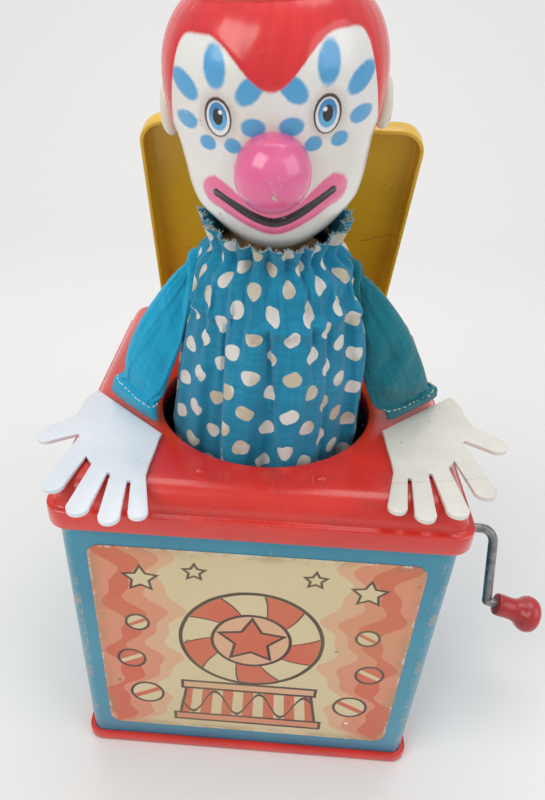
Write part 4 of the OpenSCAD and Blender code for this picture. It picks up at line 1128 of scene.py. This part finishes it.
# the smile: its middle's height, its half width, and the bend and slope of the hyperbola that it follows
SMILE_Z, SMILE_HALF, SMILE_BEND, SMILE_SLOPE = -25.3, 15.5, 4.5, 0.68
chord = np.concatenate([[0], np.cumsum(np.hypot(*np.diff(np.array(HEAD_LINE), axis=0).T))])
head_line = smooth_through(np.column_stack([chord, HEAD_LINE]), np.linspace(0, chord[-1], HEAD_ROWS))


def hair_edge(x, y, z):
    """How far up inside the hair a point of the head lies, in millimetres from the head's middle."""
    side = abs(x)
    fringe = FRINGE_Z - FRINGE_DEPTH * math.cos(math.pi * min(side, FRINGE_ARCH) / FRINGE_ARCH)
    fringe -= LOCK_FALL * (max(side - LOCK_X, 0) / LOCK_WIDTH) ** 3
    nape = NAPE_Z - NAPE_FALL * swell(y, -7.0, 5.0) + NAPE_WAVE * math.sin(math.atan2(x, -y) * NAPE_WAVES)
    return z - nape if y > HAIR_FRONT else min(z - fringe, z - nape)


def hump(height, *offsets):
    """A soft mound: each offset is how far off its middle a place lies, over the mound's spread."""
    return height * math.exp(-sum(offset ** 2 for offset in offsets))


def face_relief(x, y, z):
    """How far the brow, eye sockets, cheeks, lips and chin stand out, in millimetres."""
    front, side = swell(-y, 4, 18), abs(x)
    out = hump(0.8, (side - 12) / 8, (z - 13) / 5) * front
    out -= hump(1.0, (side - 13.5) / 4.8, (z - 3.2) / 6.0) * front
    out += hump(1.2, (side - 18) / 6, (z + 14) / 6.0) * front
    smile = SMILE_SLOPE * (math.hypot(min(side, SMILE_HALF), SMILE_BEND) - SMILE_BEND) + SMILE_Z
    if side < 24:
        lips = hump(1.3, (z - smile) / 3.6) - hump(1.2, (z - smile) / 1.2)
        out += lips * front * (1 - swell(side, 15, 20))
    return out + hump(0.9, x / 9, (z + 36) / 3.5) * front


head_points = []
for r, z in head_line:
    for k in range(HEAD_COLUMNS):
        a = 2 * math.pi * k / HEAD_COLUMNS
        x, y = r * math.sin(a), -r * math.cos(a)
        out = face_relief(x, y, z)
        deep = hair_edge(x, y, z)
        strands = math.sin(a * STRANDS + 2.2 * math.sin(z * 0.16) + 1.3 * math.sin(a * 5)) * 0.04
        out += HAIR_THICKNESS * swell(deep, -0.4, 0.9) + strands * swell(deep, 1.5, 5) * swell(r, 4, 14)
        point = Vector((x, y, z))
        # the jaw is narrower across than it is deep
        point.x *= 1 - 0.10 * swell(-z, 24, 34) * swell(-y, 0, 12)
        head_points.append(HEAD_PLACE @ ((point + Vector((x, y, z)).normalized() * out) * MM))
head_faces = []
for i in range(HEAD_ROWS - 1):
    low, high = i * HEAD_COLUMNS, (i + 1) * HEAD_COLUMNS
    head_faces += [(low + k, low + (k + 1) % HEAD_COLUMNS, high + (k + 1) % HEAD_COLUMNS, high + k)
                   for k in range(HEAD_COLUMNS)]
crown = (HEAD_ROWS - 1) * HEAD_COLUMNS
head_faces += [tuple(range(HEAD_COLUMNS - 1, -1, -1)), tuple(range(crown, crown + HEAD_COLUMNS))]
head = plain_mesh("clown_head", head_points, head_faces)
rounder = head.modifiers.new("rounder", "SUBSURF")
rounder.levels = rounder.render_levels = 1


def ball(name, centre, size, rings):
    """A smooth ball or egg, in millimetres from the head's middle."""
    shell = bmesh.new()
    bmesh.ops.create_uvsphere(shell, u_segments=rings * 2, v_segments=rings, radius=MM)
    place = HEAD_PLACE @ Matrix.Translation(Vector(centre) * MM) @ Matrix.Diagonal((*size, 1))
    bmesh.ops.transform(shell, matrix=place, verts=shell.verts)
    piece = as_piece(name, shell)
    piece.data.shade_smooth()
    return piece


vinyl = Finish("painted_vinyl", 0.24)
vinyl.place = vinyl.node("ShaderNodeMapping", _vector_type="TEXTURE", Vector=vinyl.place, Location=HEAD * MM,
                         Rotation=HEAD_TURN).outputs[0]
face_x, face_y, face_z = vinyl.axes()
skin = vinyl.mix(vinyl.grain(0.022, 4.0).under(0.47, 0.3), (0.80, 0.785, 0.74, 1), (0.74, 0.71, 0.63, 1))
sprayed = vinyl.grain(0.0009, 2.0)
before_face = face_y.under(-6.0, 2.0)
half = abs(face_x)


def spray(shape, tint, soft=0.6, strength=1.0):
    """Sprays a colour where a shape, negative inside, lies on the front of the head."""
    global skin
    covered = (shape + (sprayed - 0.5) * soft * 0.5).under(0.0, soft) * before_face
    skin = vinyl.mix(covered * strength, skin, (*tint, 1))


SKY, NIGHT, PUPIL = (0.040, 0.330, 0.620), (0.055, 0.018, 0.010), (0.008, 0.006, 0.008)
ROSE_PINK, LIP_LINE = (0.80, 0.115, 0.285), (0.014, 0.006, 0.008)
EYE_X, EYE_Z, PETALS = 13.5, 3.1, 7
eye_x, eye_z = half - EYE_X, face_z - EYE_Z
# a ring of seven petals round each eye
eye_reach, eye_turn = eye_x.reach(eye_z), eye_x.turn(eye_z)
petal_turn = eye_turn.from_spoke(PETALS)
upward = eye_z / eye_reach.most(0.5)
petal_out = eye_reach * petal_turn.cosine() - (upward * 2.0 + 9.4)
petal_side = eye_reach * petal_turn.wave()
petal = (petal_out / (upward * 1.4 + 3.3)).reach(petal_side / (upward * 0.3 + 2.45))
spray((petal - 1.0) * 2.2, SKY, 0.75, 0.94)
# the eye: painted shade in its sunken socket, a dark line, a white, an iris, a pupil and a glint
eye_x, eye_z = eye_x * 1.17, eye_z * 1.12
# a soft brown ring round the eye: painted shade in its sunken socket
spray(((eye_x / 5.4).reach(eye_z / 6.6) - 1.0) * 5.5, (0.42, 0.30, 0.25), 3.6, 0.45)
spray(((eye_x / 4.1).reach(eye_z / 5.5) - 1.0) * 4.4, NIGHT, 0.4)
spray(((eye_x / 3.5).reach((eye_z + 0.3) / 4.8) - 1.0) * 4.0, (0.80, 0.79, 0.75), 0.35)
spray(((eye_x / 2.75).reach((eye_z - 0.2) / 3.9) - 1.0) * 3.1, (0.030, 0.230, 0.500), 0.45)
spray(((eye_x / 2.35).reach((eye_z + 0.9) / 2.9) - 1.0) * 2.4, (0.16, 0.50, 0.74), 0.9, 0.7)
spray((((eye_x - 0.1) / 1.55).reach((eye_z - 0.1) / 2.35) - 1.0) * 1.9, PUPIL, 0.35)
spray((eye_x + 0.75).reach(eye_z - 1.35) - 0.62, (0.86, 0.86, 0.83), 0.3)
# the smile: a dark line in a broad soft band of pink
along_smile = half.least(SMILE_HALF)
smile_rise = ((along_smile * along_smile + SMILE_BEND ** 2).root() - SMILE_BEND) * SMILE_SLOPE
smile_z = (face_z - SMILE_Z - smile_rise) * 0.88
line_reach = (half - along_smile).reach(smile_z)
by_middle = half.under(10.0, 8.0)
spray(line_reach - 4.3 + by_middle * (smile_z * -1.0).under(0.0, 1.0) * 1.4, ROSE_PINK, 1.1, 0.93)
spray(line_reach - 1.25 - by_middle * 0.25, LIP_LINE, 0.35)
# hair, down to its fringe, its side locks and the nape
near_middle = half.least(FRINGE_ARCH) * (math.pi / FRINGE_ARCH)
past = (half - LOCK_X).most(0.0) / LOCK_WIDTH
fringe = near_middle.cosine() * -FRINGE_DEPTH + FRINGE_Z - past * past * past * LOCK_FALL
fringe = fringe - face_y.above(HAIR_FRONT, 0.5) * 900.0
round_head = face_x.turn(face_y * -1.0)
nape = (round_head * NAPE_WAVES).wave() * NAPE_WAVE + NAPE_Z - face_y.above(-1.0, 12.0) * NAPE_FALL
hair = ((face_z - fringe).least(face_z - nape) * -1.0 + (sprayed - 0.5) * 0.5).under(0.0, 1.0)
# painted shade: the coral is darkened in the grooves between the hair's raised strands, which follow this
# same wave
strand_shade = (round_head * STRANDS + (face_z * 0.16).wave() * 2.2 + (round_head * 5.0).wave() * 1.3).wave()
coral = vinyl.mix(vinyl.grain(0.018, 3.0).under(0.5, 0.5), (0.78, 0.034, 0.034, 1), (0.66, 0.016, 0.020, 1))
coral = vinyl.mix(strand_shade.under(-0.35, 0.9) * 0.16, coral, (0.46, 0.010, 0.014, 1))
skin = vinyl.mix(hair, skin, coral)
rub = vinyl.grain(0.006, 6.0, rough=0.75).under(0.33, 0.05) * 0.35
skin = vinyl.mix(rub, skin, (0.60, 0.54, 0.44, 1))
speck = vinyl.speckle(0.0026, 0.025)
skin = vinyl.mix(speck * 0.6, skin, (0.20, 0.14, 0.09, 1))
vinyl.colour(skin).roughness(vinyl.grain(0.015, 4.0).between(0.19, 0.33) + rub * 0.3)
vinyl.coat(0.3, 0.12)
vinyl.shader.inputs["Subsurface Weight"].default_value = 0.06
vinyl.shader.inputs["Subsurface Scale"].default_value = 0.002
vinyl.relief(vinyl.grain(0.012, 2.0), 0.12, 0.0012)
vinyl.relief(hair, 0.25, 0.00015)
vinyl.on(head)
EAR_X, EAR_HOLLOW = 30.2, 0.9
ears = [ball("clown_ear", (s * EAR_X, 0.4, -1.6), (3.2, 4.8, 7.2), 24) for s in (-1, 1)]
for ear, s in zip(ears, (-1, 1)):
    middle = HEAD_PLACE @ (Vector((s * EAR_X, -0.2, -0.6)) * MM)
    for v in ear.data.vertices:
        v.co.x -= s * hump(EAR_HOLLOW * MM, (v.co.y - middle.y) / MM / 2.2, (v.co.z - middle.z) / MM / 3.8)
ear_pair = join_into(ears[0], ears[1])
ear_pair.name = "clown_ears"
ear_pair.data.shade_smooth()
cream_vinyl = moulded_plastic("cream_vinyl", (0.70, 0.64, 0.50), (0.78, 0.73, 0.61), gloss=0.3, coat=0.25,
                              scuffs=0.2, dust=0.15)
cream_vinyl.on(ear_pair)
NOSE_MIDDLE = (-1.2, -52.1, 238.5)
nose = ball("clown_nose", (-0.1, -30.2, -9.7), (10.0, 10.0, 10.0), 48)
nose_pink = Finish("nose_vinyl", 0.2)
nose_x, nose_y, nose_z = nose_pink.axes(shift=NOSE_MIDDLE)
pink_cloud = nose_pink.grain(0.012, 3.0).under(0.5, 0.5)
pink = nose_pink.mix(pink_cloud, (0.82, 0.175, 0.365, 1), (0.74, 0.110, 0.270, 1))
worn_place = (nose_x - 1.4).reach(nose_z + 1.6).under(2.9, 1.0) * nose_y.under(-5.0, 1.0)
worn_off = worn_place * nose_pink.grain(0.0014, 5.0, rough=0.7).under(0.42, 0.04)
pink = nose_pink.mix(worn_off, pink, (0.56, 0.46, 0.34, 1))
pink = nose_pink.mix(nose_pink.speckle(0.0016, 0.015) * 0.6, pink, (0.25, 0.05, 0.06, 1))
nose_pink.colour(pink).roughness(nose_pink.grain(0.008, 4.0).between(0.15, 0.28) + worn_off * 0.3)
nose_pink.coat(0.5, 0.08)
nose_pink.relief(nose_pink.grain(0.009, 2.0), 0.1, 0.0008)
nose_pink.relief(worn_off, 0.3, -0.0001)
nose_pink.on(nose)
for piece in (head, ear_pair, nose):
    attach(piece, "clown")
    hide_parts("head")


# The hat: a small round hat with a flat brim, moulded in coral plastic and glued on the crown.
HAT_LINE = [(13.0, 28.4), (19.6, 27.45), (21.2, 27.5), (21.8, 27.75), (22.0, 28.3), (21.85, 28.9),
            (21.3, 29.4), (20.0, 29.9), (18.6, 30.7), (17.4, 31.9), (16.6, 33.3), (16.2, 34.6),
            (16.45, 34.9), (16.5, 35.2), (16.5, 37.5), (16.4, 37.8), (15.95, 38.1), (15.8, 39.2),
            (15.2, 40.4), (13.9, 41.4), (12.0, 42.0), (7.0, 42.3), (0.4, 42.4)]
HAT_SUNK = 1.4
hat = lathe("clown_hat", HAT_LINE, 96, HEAD_PLACE @ Matrix.Translation((0, 0, -HAT_SUNK * MM)))
keep_creases(hat, 46)
coral_plastic = moulded_plastic("coral_hat_plastic", (0.62, 0.028, 0.022), (0.74, 0.050, 0.036), gloss=0.26,
                                coat=0.4, scuffs=0.4, dust=0.2)
coral_plastic.on(hat)
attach(hat, "clown")
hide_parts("hat")


# The sleeves: plain teal cotton, sewn in flat tubes from the gathered neck to the wrists. Each
# hem is turned up and stitched in pale thread. The right one is of a darker, greener piece.
SLEEVE_COLUMNS, SLEEVE_ROWS, SLEEVE_GIRTH, SLEEVE_THICKNESS = 72, 64, 68.0, 0.4
# how far above the deck the cloth lies, which row is stitched and how far its stitches stand out, and how
# far the rows by the hem are raised
SLEEVE_CLEAR, STITCH_ROW, STITCH_PROUD = 0.55, SLEEVE_ROWS - 8, 0.18
HEM_LIFTS = {STITCH_ROW - 1: 0.18, STITCH_ROW: -0.12, STITCH_ROW + 1: 0.18, SLEEVE_ROWS - 1: 0.15}
# outer and inner edge of each flattened sleeve from neck to hem, and half its thickness there
SLEEVES = {
    "left": dict(
        edges=[((-23.0, -20.0, 207.0), (-21.0, -25.0, 190.0)), ((-31.5, -22, 204), (-29.0, -25, 181)),
               ((-43, -22, 190), (-34.5, -27, 170)), ((-51.5, -21.0, 174), (-38.0, -30.0, 160.5)),
               ((-55.5, -19.2, 157.0), (-39.2, -34.0, 153.0)),
               ((-58.7, -17.2, 147.6), (-37.9, -35.4, 147.1))],
        puff=(2.5, 5.0, 6.2, 5.6, 3.6, 1.5), deep=(0.003, 0.320, 0.520), light=(0.010, 0.410, 0.650),
        thread=(0.66, 0.72, 0.70), seed=3),
    "right": dict(
        edges=[((23.5, -20.0, 206.0), (20.5, -25.0, 190.0)), ((32.5, -22, 203), (30.0, -25, 182)),
               ((46.5, -22.5, 189), (35.0, -27, 171)), ((56.0, -20.0, 172.5), (38.5, -28.0, 161)),
               ((62.5, -14.0, 157.0), (42.0, -27.0, 153.0)), ((65.6, -7.4, 147.6), (44.6, -25.7, 147.1))],
        puff=(2.5, 5.0, 6.4, 5.8, 3.6, 1.5), deep=(0.001, 0.140, 0.180), light=(0.004, 0.210, 0.260),
        thread=(0.66, 0.60, 0.38), seed=8),
}


def sleeve_points(edges, puff, seed):
    """Rings of a flattened tube; edges are its outer and inner edge points, puff its half thickness."""
    toss = random.Random(seed)
    stations = np.array([[*outer, *inner, thick] for (outer, inner), thick in zip(edges, puff)], float)
    steps = np.diff((stations[:, :3] + stations[:, 3:6]) / 2, axis=0)
    chord = np.concatenate([[0], np.cumsum(np.linalg.norm(steps, axis=1))])
    rows = smooth_through(np.column_stack([chord, stations]), np.linspace(0, chord[-1], SLEEVE_ROWS))
    middle = (rows[:, :3] + rows[:, 3:6]) / 2
    along = np.gradient(middle, axis=0)
    waves = [(toss.uniform(1.2, 3.6), toss.uniform(-1, 1), toss.uniform(0, 6.28)) for _ in range(7)]
    points, places, run = [], [], 0.0
    for i, row in enumerate(rows):
        half = (row[3:6] - row[:3]) / 2
        outward = np.cross(half, along[i])
        outward /= np.linalg.norm(outward)
        share = i / (SLEEVE_ROWS - 1)
        # the creases are deepest half way down and die out at both ends
        crease_depth = 1.9 * math.sin(math.pi * min(1, share * 1.06)) ** 0.7
        run += 0 if i == 0 else np.linalg.norm(middle[i] - middle[i - 1])
        places.append(run)
        for k in range(SLEEVE_COLUMNS):
            a = 2 * math.pi * k / SLEEVE_COLUMNS
            across, upward = math.cos(a), math.sin(a)
            face = 1 if upward > 0 else -1
            edge = math.copysign(abs(across) ** 0.9, across)
            thick = abs(upward) ** 0.8 * face * row[6]
            phase = 1.7 if face > 0 else 0
            crease = sum(math.sin(f * run * 0.16 + g * across * 3.2 + p + phase) for f, g, p in waves)
            crease /= len(waves)
            thick += crease * crease_depth * (1 if face > 0 else -0.7) * (1 - abs(across) ** 6)
            points.append(Vector(middle[i] + half * edge + outward * thick) * MM)
    return points, places


for side, facts in SLEEVES.items():
    points, places = sleeve_points(facts["edges"], facts["puff"], facts["seed"])
    sleeve = cloth_grid(side + "_sleeve_cloth", points, SLEEVE_COLUMNS, places, SLEEVE_GIRTH)
    face_outwards(sleeve)
    share = np.linspace(0, 1, SLEEVE_ROWS)
    sleeve_held = np.maximum(1 - swell(share, 0.04, 0.14), swell(share, 0.86, 0.95))
    settle_cloth(sleeve, np.repeat(sleeve_held, SLEEVE_COLUMNS), frames=16, ease=0.04, furthest=4.0)
    for v in sleeve.data.vertices:
        v.co.z = max(v.co.z, (DECK + SLEEVE_CLEAR) * MM)
    for hem_row, lift in HEM_LIFTS.items():
        for k in range(SLEEVE_COLUMNS):
            v = sleeve.data.vertices[hem_row * SLEEVE_COLUMNS + k]
            v.co += v.normal * lift * MM
    stitched_ring = [sleeve.data.vertices[STITCH_ROW * SLEEVE_COLUMNS + k] for k in range(SLEEVE_COLUMNS)]
    hem_places = [v.co + v.normal * STITCH_PROUD * MM for v in stitched_ring]
    thick = sleeve.modifiers.new("cloth_thickness", "SOLIDIFY")
    thick.thickness, thick.offset = SLEEVE_THICKNESS * MM, -1.0
    rounder = sleeve.modifiers.new("rounder", "SUBSURF")
    rounder.levels = rounder.render_levels = 1
    plain = Weave(side + "_sleeve_cotton", facts["deep"], facts["light"])
    by_hem = (plain.v * -1.0 + places[-1]).under(3.0, 3.0)
    hem_dirt = by_hem * plain.grain(0.004, 5.0, rough=0.7).under(0.45, 0.12)
    plain.colour(plain.mix(hem_dirt * 0.5, plain.base, (0.06, 0.10, 0.10, 1)))
    plain.on(sleeve)
    places[-1] * MM
    side + "_hand"
    side + "_hand"
    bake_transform(sleeve)
    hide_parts(side + "_sleeve", side + "_cuff")
    side + "_sleeve"
    hem_line = edge_line(side + "_hem", hem_places)
    sewing = Finish(side + "_sewing_thread", 0.8)
    darker = (*(0.8 * c for c in facts["thread"]), 1)
    sewing.colour(sewing.mix(sewing.grain(0.002, 3.0), (*facts["thread"], 1), darker))
    sewing.relief(sewing.grain(0.0004, 2.0), 0.3, 0.0001)
    seam_run = Growth("hem_stitches", Spacing=2.4 * MM, Length=0.8 * MM, Thickness=0.24 * MM,
                      Seed=facts["seed"], Finish=sewing.material)
    hem_curve = seam_run.node("MeshToCurve", ("Mesh", seam_run.start.outputs[0]))
    hem_points = seam_run.node("CurveToPoints", ("Curve", hem_curve.outputs[0]),
                               ("Length", seam_run.size("Spacing")), mode="LENGTH")
    bead = seam_run.node("MeshUVSphere", ("Segments", 8), ("Rings", 6), ("Radius", 1.0))
    sized = seam_run.node("ShaderNodeCombineXYZ", ("X", seam_run.size("Thickness")),
                          ("Y", seam_run.size("Thickness")), ("Z", seam_run.size("Length")))
    jitter = seam_run.any_between((0.9, 0.9, 0.75), (1.1, 1.1, 1.15))
    scaled = seam_run.node("ShaderNodeVectorMath", (0, sized.outputs[0]), (1, jitter), operation="MULTIPLY")
    stitched = seam_run.node("InstanceOnPoints", ("Points", hem_points.outputs["Points"]),
                             ("Instance", bead.outputs["Mesh"]), ("Rotation", hem_points.outputs["Rotation"]),
                             ("Scale", scaled.outputs[0]))
    stitches = seam_run.grow(side + "_hem_stitches", stitched.outputs[0], hem_line)
    stitches.data.shade_smooth()
    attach(stitches, side + "_hand")


# The hands: cut from sheet plastic, 1.6 mm thick, with their edges rounded. They lie on the
# deck, each tucked under its sleeve's hem. The right one is coloured darker and beige as painted
# shade, and has a faint crease, darkened along it as painted shade.
HAND_TRIM, HAND_EDGE = 0.7 * MM, 0.55 * MM
# the right hand's darker, beige colours are painted shade; the left hand's are its own white
HAND_COLOURS_AND_SHADE = {"left": ((0.66, 0.70, 0.74), (0.76, 0.79, 0.82)),
                "right": ((0.60, 0.57, 0.50), (0.72, 0.70, 0.63))}


def on_rim(edge):
    """Whether an edge runs level round a plate, between its flat face and its side."""
    level = abs(edge.verts[0].co.z - edge.verts[1].co.z) < 0.4 * MM
    return level and len(edge.link_faces) == 2 and edge.calc_face_angle(0) > math.radians(60)


for side, (deep, light) in HAND_COLOURS_AND_SHADE.items():
    hand = plain_mesh(side + "_hand_plate", [], [])
    outline = bmesh.new()
    outline.from_mesh(nodes[side + "_hand"].data)
    bmesh.ops.remove_doubles(outline, verts=outline.verts, dist=0.00002)
    bmesh.ops.dissolve_limit(outline, angle_limit=math.radians(1), verts=outline.verts, edges=outline.edges)
    outline.normal_update()
    # the plate is trimmed a little all round, which leaves slimmer fingers
    outward = {v: sum((f.normal for f in v.link_faces if abs(f.normal.z) < 0.5), Vector())
               for v in outline.verts}
    for v, away in outward.items():
        away.z = 0.0
        v.co -= away.normalized() * HAND_TRIM
    rims = [edge for edge in outline.edges if on_rim(edge)]
    bmesh.ops.bevel(outline, geom=rims, offset=HAND_EDGE, segments=4, profile=0.5, affect="EDGES",
                    clamp_overlap=True)
    outline.to_mesh(hand.data)
    outline.free()
    keep_creases(hand, 50)
    sheet_plastic = moulded_plastic(side + "_hand_plastic", deep, light, gloss=0.26, coat=0.35, scuffs=0.3,
                                    dust=0.12)
    if side == "right":
        hand_x, hand_y, _ = sheet_plastic.axes()
        # a faint crease, pressed in as a groove and darkened along it as painted shade
        shaded_crease = abs(hand_y + 57.0 - (hand_x - 60.0) * 0.18 - (hand_x * 1.7).wave() * 0.3).under(0.22, 0.3)
        before_crease_shade = sheet_plastic.shader.inputs["Base Color"].links[0].from_socket
        sheet_plastic.colour(sheet_plastic.mix(shaded_crease * 0.35, before_crease_shade, (0.42, 0.38, 0.30, 1)))
        sheet_plastic.relief(shaded_crease, 0.3, -0.0003)
    sheet_plastic.relief(sheet_plastic.grain(0.02, 2.0), 0.2, 0.002)
    sheet_plastic.on(hand)
    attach(hand, side + "_hand")
    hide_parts(side + "_hand")
    side + "_hand"
